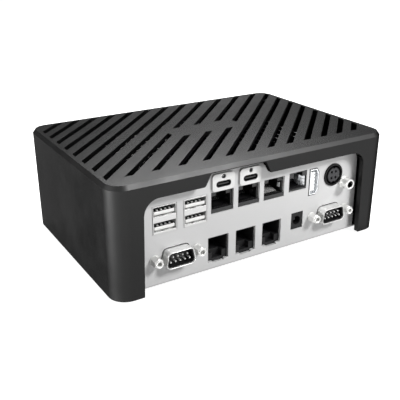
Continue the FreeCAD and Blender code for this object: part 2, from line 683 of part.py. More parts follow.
def wires(x, z, slope):
    """Eight spring wires side by side. They start low in front and lean up or down."""
    items = []
    for index in range(8):
        wire = box(f"{x} + {index - 3.5} * wire_pitch - wire_wide / 2", f"{FACE} + wire_in", z,
                   "wire_wide", "wire_long", "wire_thick", "wire")
        turn = FreeCAD.Rotation(FreeCAD.Vector(1, 0, 0), slope)
        wire.Placement = FreeCAD.Placement(FreeCAD.Vector(), turn)
        place(wire, f"{x} + {index - 3.5} * wire_pitch - wire_wide / 2", f"{FACE} + wire_in", z)
        items.append(wire)
    return items


def make_lan():
    contacts = []
    wide = "(lan_step_at * width - lan_apart)"
    floor = f"({UPPER} + plug_floor)"
    for number in (1, 2, 3, 4):
        last = number == 4
        x = "(lan_last_at * width)" if last else \
            f"((lan_first_at + {number - 1} * lan_step_at) * width)"
        span = "lan_last_wide" if last else "lan_window_wide"
        low = f"({UPPER} + lan_last_low)" if last else f"({UPPER} + lan_window_low)"
        top = f"({UPPER} + lan_last_top - screw_free)" if last else floor
        block = box(f"{x} - {wide} / 2", BACK, UPPER, wide, "lan_long", "lan_top")
        # only the last jack fills its window; the others show a lip below and are open above
        nose = box(f"{x} - {span} / 2 + screw_free", f"{FACE} + face_set", f"{low} + screw_free",
                   f"{span} - 2 * screw_free", "sheet - face_set", f"{top} - {low} - screw_free")
        body = cut(fuse([block, nose]), jack_cavity(x, floor, "plug_deep", True))
        keep(body, f"lan_body_{number}")
        contacts += wires(x, f"{floor} + wire_clear", size.wire_slope)
    keep(group(contacts, "lan_contacts"), "lan_contacts")
    # the last jack is lined with sheet on both sides of its plug space
    x = "(lan_last_at * width)"
    sides = [box(f"{x} + {edge}", f"{FACE} + 1", f"{floor} + shield_clear", "shield_skin",
                 "plug_deep - 1", "plug_high - 2 * shield_clear")
             for edge in ("plug_wide / 2 - shield_skin", "-plug_wide / 2")]
    keep(group(sides, "lan_shield"), "lan_shield")


def make_video():
    body = slab("XZ_Plane", [video_outline(0), video_outline(-size.video_skin)],
                "depth / 2 - recess + proud", "video_long", "video_shell", away=True)
    keep(body, "video_shell")
    body = new_body("video_insert")
    end = "depth / 2 - recess + proud - video_long"
    pad(body, sketch(body, "XZ_Plane", [video_outline(-size.video_skin)], end), "video_stem")
    x, half = across("video_at"), size.video_tongue / 2
    tongue = upright(x - half, x + half, deck(size.video_tongue_side),
                     deck(size.video_high - size.video_tongue_side))
    pad(body, sketch(body, "XZ_Plane", [tongue], f"{end} + video_stem"),
        "video_long - video_stem - 1")
    keep(body, "video_insert")


def make_power():
    x, z = across("power_at"), deck(size.power_z)
    mid_x, mid_z = "power_at * width", f"{UPPER} + power_z"
    front = "depth / 2 - recess + power_proud"
    nose = f"({FACE} - power_proud)"
    body = new_body("power_moulding")
    pad(body, sketch(body, "XZ_Plane", [ring(x, z, size.power_ring)], front), "power_long",
        away=True)
    inside = ring(x, z, size.power_ring - 2 * size.power_skin)
    pocket(body, sketch(body, "XZ_Plane", [inside, ring(x, z, size.power_core)], front),
           "power_deep")
    half = size.power_pin / 2
    holes = [upright(x + sx * size.power_pin_x - half, x + sx * size.power_pin_x + half,
                     z + sz * size.power_pin_z - half, z + sz * size.power_pin_z + half)
             for sx in (-1, 1) for sz in (-1, 1)]
    pocket(body, sketch(body, "XZ_Plane", holes, front), "power_deep")
    keys = [rod(mid_x, nose, f"{mid_z} {sign} power_core / 2", "power_key", "power_deep", "Y")
            for sign in ("+", "-")]
    foot = box(f"{mid_x} - power_foot / 2", BACK, UPPER, "power_foot",
               "power_long - power_proud - sheet", "power_z - power_ring / 2 + power_skin")
    hollow = rod(mid_x, nose, mid_z, "power_ring - 2 * screw_free", "power_long", "Y")
    keep(fuse([cut(body, keys), cut(foot, [hollow])], "power_body"), "power_body")
    wide = "(power_pin - 2 * screw_free)"
    sleeves = [box(f"{mid_x} + {sx} * power_pin_x - {wide} / 2",
                   f"{nose} + power_deep - power_sleeve",
                   f"{mid_z} + {sz} * power_pin_z - {wide} / 2", wide, "power_sleeve", wide)
               for sx in (-1, 1) for sz in (-1, 1)]
    keep(group(sleeves, "power_contacts"), "power_contacts")


def make_audio():
    front = "(-depth / 2)"
    x, z = "audio_at * width", f"({UPPER} + audio_z)"
    bush = fuse([
        rod(x, front, z, "audio_bush", "recess + sheet", "Y"),
        rod(x, f"{FACE} - audio_flange_thick", z, "audio_flange", "audio_flange_thick", "Y")])
    bore = rod(x, front, z, "audio_bore", "recess + sheet", "Y")
    keep(cut(bush, [bore], "audio_bush"), "audio_bush")
    block = box(f"{x} - audio_body_left", BACK, UPPER, "audio_body_left + audio_body_right",
                "audio_long", "audio_z + audio_body_top")
    bore = rod(x, BACK, z, "audio_bore", "audio_long - 1", "Y")
    keep(cut(block, [bore], "audio_body"), "audio_body")


# ---------------------------------------------------------------- lower row
def make_com(side):
    x = across(f"com_{side}_at")
    rim = "(depth / 2 - recess + com_proud)"
    seat = "depth / 2 - recess - sheet"
    outer = shifted(com_outline(size.com_skin), x, size.com_z)
    inner = shifted(com_outline(0), x, size.com_z)
    body = new_body("com_shell")
    half_x, half_z = size.com_flange_wide / 2, size.com_flange_high / 2
    holes = [eight(x + step * size.jack_spacing, lift(size.com_z),
                   size.jack_stud + 2 * size.jack_free) for step in (-0.5, 0.5)]
    flange = upright(x - half_x, x + half_x, lift(size.com_z) - half_z,
                     lift(size.com_z) + half_z)
    pad(body, sketch(body, "XZ_Plane", [flange, inner] + holes, seat), "com_flange", away=True)
    pad(body, sketch(body, "XZ_Plane", [outer, inner], seat), "com_proud + sheet")
    keep(body, f"com_shell_{side}")
    body = new_body("com_insert")
    core = shifted(com_outline(-size.screw_free), x, size.com_z)
    pad(body, sketch(body, "XZ_Plane", [core], f"{rim} - com_face"),
        "com_proud - com_face + sheet + com_flange", away=True)
    rear = upright(x - size.com_wide / 2, x + size.com_wide / 2, lift(size.com_z) - half_z + 1,
                   lift(size.lower_board))
    pad(body, sketch(body, "XZ_Plane", [rear], f"{seat} - com_flange"), "com_rear", away=True)
    keep(body, f"com_insert_{side}")
    pins = []
    for row, count in ((-0.5, 5), (0.5, 4)):
        for index in range(count):
            pin_x = f"com_{side}_at * width + {index - (count - 1) / 2} * com_pin_step"
            pins.append(faceted(pin_x, f"{FACE} - com_proud + com_pin_in",
                            f"stand + com_z + {row} * com_pin_row", "com_pin",
                            "com_face - com_pin_in", "Y", "pin"))
    return pins


def make_jackscrews():
    screws = []
    for side in ("left", "right"):
        for step in (-0.5, 0.5):
            x, z = f"com_{side}_at * width + {step} * jack_spacing", "stand + com_z"
            head = hexagon(x, f"{FACE} - jack_long", z, "jack_flats", "jack_long", "Y")
            stud = faceted(x, FACE, z, "jack_stud", "sheet + com_flange + jack_tail", "Y")
            bore = rod(x, f"{FACE} - jack_long", z, "jack_bore", "jack_bore_deep", "Y")
            nut = hexagon(x, f"{BACK} + com_flange", z, "jack_flats", "jack_nut", "Y")
            screws.append(cut(fuse([head, stud, nut]), [bore]))
    keep(group(screws, "jackscrews"), "jackscrews")


def make_ports():
    contacts = []
    wide = "(port_step_at * width - port_apart)"
    for number in (1, 2, 3):
        x = f"((port_first_at + {number - 1} * port_step_at) * width)"
        block = box(f"{x} - {wide} / 2", BACK, "stand + port_low", wide, "lan_long",
                    "lower_board - port_low")
        plug = box(f"{x} - plug_wide / 2", BACK, "stand + port_floor", "plug_wide", "plug_deep",
                   "port_roof - port_floor")
        channel = box(f"{x} - latch_wide / 2", BACK, "stand + port_channel", "latch_wide",
                      "port_channel_deep", "port_floor - port_channel")
        keep(cut(block, [plug, channel]), f"port_body_{number}")
        contacts += wires(x, "stand + port_roof - wire_thick - wire_clear", -size.wire_slope)
    keep(group(contacts, "port_contacts"), "port_contacts")


def make_switch_socket():
    x, z = "switch_at * width", "(stand + switch_z)"
    low = f"{z} - switch_high / 2 + screw_free"
    wide = "(switch_wide - 2 * screw_free)"
    nose = box(f"{x} - {wide} / 2", f"{FACE} + face_set", low, wide, "sheet - face_set",
               "switch_high - 2 * screw_free")
    block = box(f"{x} - {wide} / 2", BACK, low, wide, "switch_long", f"{LOWER} - ({low})")
    bore = rod(x, f"{FACE} + face_set", z, "switch_bore", "switch_deep", "Y")
    keep(cut(fuse([nose, block]), [bore], "switch_body"), "switch_body")
    post = rod(x, f"{FACE} + face_set + switch_deep - switch_post_long", z, "switch_post",
               "switch_post_long", "Y")
    keep(post, "switch_pin")


# ---------------------------------------------------------------- processor and cooling
def make_cooling():
    x = "chip_at * width"
    chip = fuse([mid_box(x, MIDDLE, UPPER, "chip_side", "chip_side", "chip_thick"),
                 mid_box(x, MIDDLE, f"{UPPER} + chip_thick", "die_side", "die_side",
                         "die_thick")], "processor")
    keep(chip, "processor")
    pad_low = f"({UPPER} + chip_thick + die_thick)"
    keep(mid_box(x, MIDDLE, pad_low, "pad_side", "pad_side", "pad_thick", "pad"), "thermal_pad")

    base, top = deck(size.sink_base), lift(size.height - size.roof - size.sink_under)
    root = base + size.sink_thick
    half, count = size.width / 2 - size.sink_side, int(size.fin_count)
    pitch = (2 * half - size.fin_thick) / (count - 1)
    points = [(-half, base, 0), (half, base, 0)]
    for index in reversed(range(count)):
        left = -half + index * pitch
        points += [(left + size.fin_thick, top, 0), (left, top, 0)]
        if index:
            points += [(left, root, 0), (left - pitch + size.fin_thick, root, 0)]
    body = slab("XZ_Plane", [outline(points)], f"-{SINK_FRONT}", f"{BOARD_BACK} - {SINK_FRONT}",
                "fins", away=True)
    pedestal_low = f"({pad_low} + pad_thick)"
    base_low = f"({UPPER} + sink_base)"
    pieces = [body, mid_box(x, MIDDLE, pedestal_low, "pedestal_side", "pedestal_side",
                            f"{base_low} - {pedestal_low}")]
    tools = []
    for leg_x, leg_y in sink_legs():
        pieces.append(mid_box(leg_x, leg_y, UPPER, "leg_width", "leg_width", "sink_base"))
        tools.append(faceted(leg_x, leg_y, UPPER, "screw + 2 * screw_free", "sink_screw_long"))
    keep(cut(fuse(pieces), tools, "heat_sink"), "heat_sink")


def make_memory():
    low = f"({UPPER} + memory_lift)"
    edge = f"({SINK_HALF} - leg_in - leg_width / 2 - memory_clear - memory_socket)"
    left = f"({edge} + memory_groove - memory_wide)"
    front = f"({MIDDLE} - memory_long / 2)"
    module = box(left, front, low, "memory_wide", "memory_long", "memory_thick")
    chips = [mid_box(f"{left} + memory_wide * {column}", f"{front} + memory_long * {row}",
                     f"{low} + memory_thick", "memory_chip", "memory_chip_long",
                     "memory_chip_thick")
             for column in (0.3, 0.68) for row in (0.17, 0.39, 0.61, 0.83)]
    keep(fuse([module] + chips, "memory_module"), "memory_module")
    bar = box(edge, f"{front} - memory_play", UPPER, "memory_socket",
              "memory_long + 2 * memory_play", "memory_socket_high")
    groove = box(edge, f"{front} - memory_play", low, "memory_groove",
                 "memory_long + 2 * memory_play", "memory_thick")
    arms = [box(f"{left} + memory_groove", y, UPPER,
                "memory_wide + memory_socket - 2 * memory_groove", "memory_arm",
                "memory_socket_high")
            for y in (f"{front} - memory_play - memory_arm", f"{front} + memory_long + memory_play")]
    keep(fuse([cut(bar, [groove])] + arms, "memory_socket"), "memory_socket")


def make_ssd():
    low = f"({UPPER} + ssd_lift)"
    left, front = "ssd_at * width", f"({MIDDLE} - ssd_long / 2)"
    card = box(left, front, low, "ssd_wide", "ssd_long", "ssd_thick")
    chips = [mid_box(f"{left} + ssd_wide / 2", f"{front} + ssd_long * {place}",
                     f"{low} + ssd_thick", "ssd_chip * 1.3", "ssd_chip", "ssd_chip_thick")
             for place in (0.3, 0.68)]
    keep(fuse([card] + chips, "ssd"), "ssd")
    bar = box(left, f"{front} + ssd_groove - ssd_socket", UPPER, "ssd_wide", "ssd_socket",
              "ssd_socket_high")
    groove = box(left, front, low, "ssd_wide", "ssd_groove", "ssd_thick")
    post = hexagon(f"{left} + ssd_wide / 2", f"{front} + ssd_long - ssd_post / 2", UPPER,
                   "ssd_post", "ssd_lift")
    keep(cut(bar, [groove], "ssd_socket"), "ssd_socket")
    keep(post, "ssd_post")


def make_cell():
    x, tray = f"(cell_side - {BOARD_HALF})", "cell_width + 2 * cell_wall"
    holder = mid_box(x, MIDDLE, UPPER, tray, tray, "cell_lift + cell_thick - cell_proud")
    well = faceted(x, MIDDLE, f"{UPPER} + cell_lift", "cell_width + 2 * cell_play",
                   "cell_thick", sides=24)
    keep(cut(holder, [well], "cell_holder"), "cell_holder")
    keep(faceted(x, MIDDLE, f"{UPPER} + cell_lift", "cell_width", "cell_thick", name="cell",
                 sides=24), "coin_cell")


def make_power_parts():
    front = f"({STAND_FRONT} + choke_gap)"
    chokes = [box("choke_at * width - choke_side / 2", f"{front} + {index} * choke_step",
                  f"{LOWER} - choke_high", "choke_side", "choke_side", "choke_high")
              for index in range(3)]
    keep(group(chokes, "chokes"), "chokes")
    cans = [faceted(f"can_at * width - {column} * can_step", f"({STAND_BACK} - can_gap)",
                    f"{LOWER} - can_high", "can_width", "can_high", sides=16)
            for column in range(3)]
    keep(group(cans, "capacitors"), "capacitors")


make_housing()
make_chassis()
make_base_fasteners()
make_boards()
pin_groups = []
for hand in ("left", "right"):
    make_usb(hand)
    make_usb_c(hand)
    pin_groups += make_com(hand)
keep(group(pin_groups, "com_pins"), "com_pins")
make_jackscrews()
make_lan()
make_video()
make_power()
make_audio()
make_ports()
make_switch_socket()
make_cooling()
make_memory()
make_ssd()
make_cell()
make_power_parts()

doc.recompute()
faults = [item.Name for item in doc.Objects if {"Invalid", "Error"} & set(item.State)]
for item in finished:
    shape = item.Shape
    if shape.isNull() or not shape.isValid() or not shape.Solids:
        faults.append(item.Label)
if faults:
    raise RuntimeError("these objects failed: " + ", ".join(faults))

os.makedirs("parts", exist_ok=True)
for item in finished:
    item.Shape.exportStep(f"parts/{item.Label}.step")
print(len(finished), "pieces")
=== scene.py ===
import math
import bmesh
import bpy
from mathutils import Matrix, Vector


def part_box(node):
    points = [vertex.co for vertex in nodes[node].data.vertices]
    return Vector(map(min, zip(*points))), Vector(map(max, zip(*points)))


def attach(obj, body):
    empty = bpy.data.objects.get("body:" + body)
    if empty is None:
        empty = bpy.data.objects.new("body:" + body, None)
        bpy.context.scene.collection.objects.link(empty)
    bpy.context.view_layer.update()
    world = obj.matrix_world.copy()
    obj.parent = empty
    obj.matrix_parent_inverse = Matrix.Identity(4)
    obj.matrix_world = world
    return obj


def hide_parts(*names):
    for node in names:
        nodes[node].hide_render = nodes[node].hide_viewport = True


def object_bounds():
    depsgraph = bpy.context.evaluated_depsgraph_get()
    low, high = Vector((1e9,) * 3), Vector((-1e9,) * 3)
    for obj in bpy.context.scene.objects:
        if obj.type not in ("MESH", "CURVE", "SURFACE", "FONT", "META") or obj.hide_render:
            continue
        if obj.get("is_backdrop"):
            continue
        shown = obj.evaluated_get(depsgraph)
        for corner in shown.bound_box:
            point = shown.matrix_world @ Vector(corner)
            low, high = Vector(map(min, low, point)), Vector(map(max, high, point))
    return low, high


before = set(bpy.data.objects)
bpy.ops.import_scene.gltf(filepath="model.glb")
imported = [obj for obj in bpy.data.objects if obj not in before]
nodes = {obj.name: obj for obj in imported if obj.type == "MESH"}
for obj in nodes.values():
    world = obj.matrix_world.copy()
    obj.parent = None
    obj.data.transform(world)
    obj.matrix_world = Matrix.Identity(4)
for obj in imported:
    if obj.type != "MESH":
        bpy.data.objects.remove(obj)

cad_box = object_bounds()
MM = 0.001


# ------------------------------------------------------------------ camera
# A long lens at the left front looks down on the connector side and the roof. Its height
# is taken from the housing's lower rim, and its angles are turned one after the other.
def placed(name, data):
    """A new object in the scene."""
    item = bpy.data.objects.new(name, data)
    bpy.context.scene.collection.objects.link(item)
    return item


EYE_ACROSS, EYE_FRONT, EYE_UP = -0.1894, -0.3061, 0.1676
TURN, TILT, ROLL = -31.25, 67.07, -0.12
camera_data = bpy.data.cameras.new("camera")
camera_data.sensor_width = 36.0
camera_data.lens = 56.55
camera_data.clip_start = 0.01
camera = placed("camera", camera_data)
housing_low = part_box("housing")[0]
camera.matrix_world = Matrix.Translation((EYE_ACROSS, EYE_FRONT, EYE_UP + housing_low.z))
for axis, degrees in (("Z", TURN), ("X", TILT), ("Z", ROLL)):
    camera.matrix_world = camera.matrix_world @ Matrix.Rotation(math.radians(degrees), 4, axis)
bpy.context.scene.camera = camera
bpy.context.scene.view_settings.view_transform = "Standard"


# ------------------------------------------------------------------ floor and light
# A plain pale table under a white sky. A soft lamp over the right front lights the
# connector side and the front bevel, a larger one behind skims the roof, and a low one on
# the left draws the rounded front corner.
def tone(code):
    """An sRGB hex colour as linear RGBA."""
    parts = [int(code[i:i + 2], 16) / 255 for i in (1, 3, 5)]
    return [c / 12.92 if c <= 0.04045 else ((c + 0.055) / 1.055) ** 2.4 for c in parts] + [1.0]


def add_node(tree, kind, settings=None, **inputs):
    """One node: its settings by name, and each input a value or another node's output."""
    node = tree.nodes.new(kind)
    for name, value in (settings or {}).items():
        setattr(node, name, value)
    for name, value in inputs.items():
        numbered = name[0] == "n" and name[1:].isdigit()
        socket = node.inputs[int(name[1:])] if numbered else node.inputs[name.replace("_", " ")]
        if isinstance(value, bpy.types.NodeSocket):
            tree.links.new(value, socket)
        else:
            socket.default_value = value
    return node


def seen_directly(tree):
    """1 for rays from the camera, from a mirror and through glass, otherwise 0."""
    path = add_node(tree, "ShaderNodeLightPath")
    seen = path.outputs["Is Camera Ray"]
    for other in ("Is Glossy Ray", "Is Transmission Ray"):
        seen = add_node(tree, "ShaderNodeMath", {"operation": "MAXIMUM"}, n0=seen,
                        n1=path.outputs[other]).outputs[0]
    return seen


FLOOR_REACH = 6.0
FLOOR_GLOW = 0.9
mesh = bpy.data.meshes.new("floor")
mesh.from_pydata([(x * FLOOR_REACH, y * FLOOR_REACH, 0) for x, y in
                  ((-1, -1), (1, -1), (1, 1), (-1, 1))], [], [(0, 1, 2, 3)])
floor = placed("floor", mesh)
table = bpy.data.materials.new("pale_table")
table.use_nodes = True
tree = table.node_tree
shader = tree.nodes["Principled BSDF"]
shader.inputs["Base Color"].default_value = tone("#8A8A8A")
shader.inputs["Roughness"].default_value = 0.9
shader.inputs["Specular IOR Level"].default_value = 0.0
shader.inputs["Emission Color"].default_value = tone("#FFFFFF")
glow = add_node(tree, "ShaderNodeMath", {"operation": "MULTIPLY"}, n0=seen_directly(tree),
                n1=FLOOR_GLOW)
tree.links.new(glow.outputs[0], shader.inputs["Emission Strength"])
mesh.materials.append(table)
floor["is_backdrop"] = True

world = bpy.data.worlds.new("white_studio")
bpy.context.scene.world = world
world.use_nodes = True
tree = world.node_tree
tree.nodes.clear()
SKY_LIGHT = 0.11
level = add_node(tree, "ShaderNodeMapRange", n0=seen_directly(tree), n3=SKY_LIGHT, n4=1.0)
sky = add_node(tree, "ShaderNodeBackground", Color=tone("#FFFFFF"), Strength=level.outputs[0])
add_node(tree, "ShaderNodeOutputWorld", Surface=sky.outputs[0])


def middle_of(node):
    """The middle of a CAD node's box, in metres."""
    low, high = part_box(node)
    return (low + high) / 2


def soft_lamp(name, place, across, watts):
    """A round lamp of a width in metres, aimed at the middle of the housing."""
    data = bpy.data.lights.new(name, "AREA")
    data.shape = "DISK"
    data.size = across
    data.energy = watts
    lamp = placed(name, data)
    turn = (middle_of("housing") - Vector(place)).to_track_quat("-Z", "Y")
    lamp.matrix_world = Matrix.Translation(place) @ turn.to_matrix().to_4x4()


soft_lamp("key", (0.48, -0.84, 0.84), 0.34, 19.5)
soft_lamp("roof_light", (0.60, 0.92, 0.66), 0.6, 112.0)
soft_lamp("corner_light", (-1.0, -0.04, 0.13), 0.3, 36.0)


# ------------------------------------------------------------------ housing
# The die-cast aluminium cover with its slotted roof, bead-blasted and anodised black. The
# blast leaves grains of about a third of a millimetre and rounds every edge. The finish is
# dark metal with a silky sheen, and the dye keeps it dark at a grazing angle too.
def finish(name, colour, roughness, metallic=0.0, grain=0.15, relief=0.004, play=0.05,
           patch=8.0, stretch=(1.0, 1.0, 1.0), **uniform):
    """A Principled finish with a relief in mm over grains of a size in mm, and a gloss
    that drifts by play from patch to patch. The rest goes to the shader's own sockets."""
    material = bpy.data.materials.new(name)
    material.use_nodes = True
    tree = material.node_tree
    shader = tree.nodes["Principled BSDF"]
    shader.inputs["Base Color"].default_value = tone(colour)
    shader.inputs["Metallic"].default_value = metallic
    for label, value in uniform.items():
        shader.inputs[label.replace("_", " ")].default_value = value
    place = add_node(tree, "ShaderNodeTexCoord", {"name": "place"}).outputs["Object"]
    run = add_node(tree, "ShaderNodeMapping", Vector=place, Scale=stretch).outputs[0]
    grains = add_node(tree, "ShaderNodeTexNoise", Vector=run, Scale=1 / (grain * MM),
                      Detail=2.0, Roughness=0.6)
    bump = add_node(tree, "ShaderNodeBump", Height=grains.outputs[0], Strength=0.6,
                    Distance=relief * MM)
    tree.links.new(bump.outputs[0], shader.inputs["Normal"])
    drift = add_node(tree, "ShaderNodeTexNoise", Vector=place, Scale=1 / (patch * MM),
                     Detail=3.0)
    gloss = add_node(tree, "ShaderNodeMapRange", n0=drift.outputs[0], n1=0.3, n2=0.7,
                     n3=roughness - play, n4=roughness + play)
    tree.links.new(gloss.outputs[0], shader.inputs["Roughness"])
    return material


def applied(piece):
    """The piece with its modifiers turned into its own mesh."""
    bpy.context.view_layer.update()
    result = piece.evaluated_get(bpy.context.evaluated_depsgraph_get())
    mesh = bpy.data.meshes.new_from_object(result)
    piece.modifiers.clear()
    piece.data = mesh
    return piece


def built(name, shape, angle=32.0):
    """An object from a bmesh, smooth up to the angle and sharp past it."""
    mesh = bpy.data.meshes.new(name)
    shape.to_mesh(mesh)
    shape.free()
    mesh.shade_smooth()
    mesh.set_sharp_from_angle(angle=math.radians(angle))
    return placed(name, mesh)


def eased(piece, width, segments=2, angle=32.0):
    """Every real edge of the piece rounded by the width in mm."""
    edge = piece.modifiers.new("edge", "BEVEL")
    edge.limit_method = "ANGLE"
    edge.angle_limit = math.radians(angle)
    edge.width = width * MM
    edge.segments = segments
    edge.miter_outer = "MITER_ARC"
    piece.modifiers.new("even", "WEIGHTED_NORMAL")
    return applied(piece)


def cad_copy(source):
    """A CAD node's mesh as a merged bmesh."""
    shape = bmesh.new()
    shape.from_mesh(nodes[source].data)
    bmesh.ops.remove_doubles(shape, verts=shape.verts, dist=2e-6)
    return shape


def dress(piece, material, *replaced):
    """One material, a place on the part's only body, and the CAD nodes it stands for."""
    piece.data.materials.clear()
    piece.data.materials.append(material)
    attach(piece, "root")
    if replaced:
        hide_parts(*replaced)
    return piece


def rounded(name, node, material, width, segments=2):
    """A piece with a CAD node's own shape, its edges rounded by the width in mm."""
    return dress(eased(built(name, cad_copy(node)), width, segments), material, node)


anodised_cast = finish("black_anodised_casting", "#2D2D2D", 0.42, 1.0, grain=0.32, relief=0.03,
                       play=0.04, patch=16, Specular_Tint=tone("#A0A0A0"))
rounded("cast_housing", "housing", anodised_cast, 0.30)


# ------------------------------------------------------------------ chassis plate
# The folded steel sheet that is base and connector plate in one, bright zinc under a
# satin passivation, with a faint rolled grain along its length. Thin seams are cut round
# the sockets that come through it, and the black foam set in them is painted shade.
zinc_sheet = finish("passivated_zinc_sheet", "#BDBDBD", 0.5, 0.25, grain=0.5, relief=0.006,
                    play=0.04, patch=20, stretch=(0.06, 1.0, 1.0))


def set_in(shape, spot=(0, 0, 0), turn=None):
    """The shape turned, then moved to a spot in metres."""
    if turn is not None:
        shape.transform(turn)
    bmesh.ops.translate(shape, verts=shape.verts, vec=Vector(spot))
    return shape


def block(low, high):
    """A box between two corners in metres."""
    shape = bmesh.new()
    bmesh.ops.create_cube(shape, size=1.0)
    low, high = Vector(low), Vector(high)
    bmesh.ops.scale(shape, verts=shape.verts, vec=high - low)
    return set_in(shape, (low + high) / 2)


def cut_out(piece, *tools):
    """The piece with solid tools taken out of it."""
    cutter = joined("cutter", *tools)
    cut = piece.modifiers.new("cut", "BOOLEAN")
    cut.operation = "DIFFERENCE"
    cut.solver = "EXACT"
    cut.object = cutter
    applied(piece)
    bpy.data.objects.remove(cutter)
    return piece


def joined(name, *parts):
    """Several loose parts of one piece as one object."""
    shape = bmesh.new()
    for part in parts:
        shape.from_mesh(part.data)
        bpy.data.objects.remove(part)
    mesh = bpy.data.meshes.new(name)
    shape.to_mesh(mesh)
    shape.free()
    return placed(name, mesh)


def tube_end(node, wide, high, grow, end):
    """The front of a tube node up to a depth in y, its outline grown by a width in mm."""
    shape = cad_copy(node)
    bmesh.ops.bisect_plane(shape, geom=shape.verts[:] + shape.edges[:] + shape.faces[:],
                           dist=1e-7, plane_co=(0, end, 0), plane_no=(0, 1, 0),
                           clear_outer=True)
    bmesh.ops.bridge_loops(shape, edges=[edge for edge in shape.edges if edge.is_boundary])
    x, _, z = middle_of(node)
    for vertex in shape.verts:
        vertex.co.x = x + (vertex.co.x - x) * (1 + 2 * grow / wide)
        vertex.co.z = z + (vertex.co.z - z) * (1 + 2 * grow / high)
    bmesh.ops.recalc_face_normals(shape, faces=shape.faces)
    return shape


TAB_PROUD = 1.1 * MM
SHEET = 1.5 * MM
PLATE_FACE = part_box("usb_c_tab_left")[0].y + TAB_PROUD
PLATE_BACK = PLATE_FACE + SHEET
SERIAL = (16.92, 8.36)      # a serial shell's width and height in mm
VIDEO = (6.2, 15.2)         # the video shell's
seams = [built("seam", tube_end("video_shell", *VIDEO, 0.6, PLATE_BACK + 0.1 * MM))]
# Painted shade: black foam rings and strips fill the seams round the sockets.
seam_shade_fills = []
for node, across, grow in (("com_shell_left", SERIAL, 0.43), ("com_shell_right", SERIAL, 0.43),
                           ("video_shell", VIDEO, 0.56)):
    ring = tube_end(node, *across, grow, PLATE_BACK - 0.05 * MM)
    for vertex in ring.verts:
        vertex.co.y = max(vertex.co.y, PLATE_FACE + 0.06 * MM)
    seam_shade_fills.append(built("gasket", ring))
for side in ("left", "right"):
    low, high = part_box("usb_shell_" + side)
    seams.append(built("seam", block((high.x - 0.1 * MM, PLATE_FACE - MM, low.z - 0.05 * MM),
                                     (high.x + 0.55 * MM, PLATE_BACK + 0.1 * MM,
                                      high.z + 0.05 * MM))))
    seam_shade_fills.append(built("gasket", block((high.x + 0.02 * MM, PLATE_FACE + 0.3 * MM, low.z),
                                         (high.x + 0.5 * MM, PLATE_BACK - 0.05 * MM, high.z))))
plate = cut_out(built("folded_chassis", cad_copy("chassis_plate")), *seams)
dress(eased(plate, 0.1), zinc_sheet, "chassis_plate")
# Painted shade: a black foam for the seams, so they stay dark under any light.
seam_shade_foam = finish("black_seam_shade_foam", "#0A0A0A", 0.9, grain=0.3, relief=0.03, patch=3,
              Specular_IOR_Level=0.1)
dress(joined("socket_gaskets", *seam_shade_fills), seam_shade_foam)


# ------------------------------------------------------------------ base screws
# Four countersunk M3 socket screws of zinc-plated steel hold the chassis in the housing's
# corner posts. They look bluish bright, with a hexagon socket and a rolled thread.
def turned(rows, steps=24, closed=False):
    """A shape of revolution about Z from rows of radius and height in mm. A row with a
    third value is a hexagon, and its radius is then that of its flats."""
    shape = bmesh.new()
    rings = []
    for radius, height, *six in rows:
        ring = []
        for index in range(steps if radius else 1):
            turn = math.tau * index / steps
            reach = radius * MM
            if six:
                reach /= math.cos((turn + math.pi / 6) % (math.pi / 3) - math.pi / 6)
            ring.append(shape.verts.new((reach * math.cos(turn), reach * math.sin(turn),
                                         height * MM)))
        rings.append(ring)
    for first, second in zip(rings, rings[1:] + (rings[:1] if closed else [])):
        for index in range(steps):
            corners = []
            for ring, at in ((first, index), (first, index + 1), (second, index + 1),
                             (second, index)):
                corner = ring[at % len(ring)]
                if corner not in corners:
                    corners.append(corner)
            if len(corners) > 2:
                shape.faces.new(corners)
    bmesh.ops.recalc_face_normals(shape, faces=shape.faces)
    return shape


def threaded(radius, low, high, pitch=0.5, depth=0.22):
    """Rows of a thread's crests and roots between two heights."""
    rows = []
    for index in range(int((high - low) / pitch)):
        height = low + index * pitch
        rows += [(radius - depth, height), (radius, height + 0.35 * pitch),
                 (radius, height + 0.6 * pitch)]
    return rows + [(radius - depth, high)]


FORWARD = Matrix.Rotation(math.pi / 2, 4, "X")     # turns +Z to the front, -Y
DOWN = Matrix.Rotation(math.pi, 4, "X")            # turns +Z to the ground


# One tree repeats a unit in columns and rows.
array = bpy.data.node_groups.new("columns_and_rows", "GeometryNodeTree")
sockets = {}
for label, kind in (("Unit", "NodeSocketObject"), ("Columns", "NodeSocketInt"),
                    ("Rows", "NodeSocketInt"), ("Start", "NodeSocketVector"),
                    ("Column step", "NodeSocketVector"), ("Row step", "NodeSocketVector"),
                    ("Finish", "NodeSocketMaterial")):
    sockets[label] = array.interface.new_socket(name=label, in_out="INPUT",
                                                socket_type=kind).identifier
array.interface.new_socket(name="Geometry", in_out="OUTPUT", socket_type="NodeSocketGeometry")
given = add_node(array, "NodeGroupInput").outputs
count = add_node(array, "ShaderNodeMath", {"operation": "MULTIPLY"}, n0=given["Columns"],
                 n1=given["Rows"])
number = add_node(array, "GeometryNodeInputIndex").outputs[0]
column = add_node(array, "ShaderNodeMath", {"operation": "MODULO"}, n0=number,
                  n1=given["Columns"])
share = add_node(array, "ShaderNodeMath", {"operation": "DIVIDE"}, n0=number,
                 n1=given["Columns"])
row = add_node(array, "ShaderNodeMath", {"operation": "FLOOR"}, n0=share.outputs[0])
along = add_node(array, "ShaderNodeVectorMath", {"operation": "SCALE"},
                 n0=given["Column step"], Scale=column.outputs[0])
beside = add_node(array, "ShaderNodeVectorMath", {"operation": "SCALE"},
                  n0=given["Row step"], Scale=row.outputs[0])
reach = add_node(array, "ShaderNodeVectorMath", {"operation": "ADD"}, n0=along.outputs[0],
                 n1=beside.outputs[0])
spot = add_node(array, "ShaderNodeVectorMath", {"operation": "ADD"}, n0=reach.outputs[0],
                n1=given["Start"])
points = add_node(array, "GeometryNodePoints", Count=count.outputs[0],
                  Position=spot.outputs[0])
unit = add_node(array, "GeometryNodeObjectInfo", Object=given["Unit"])
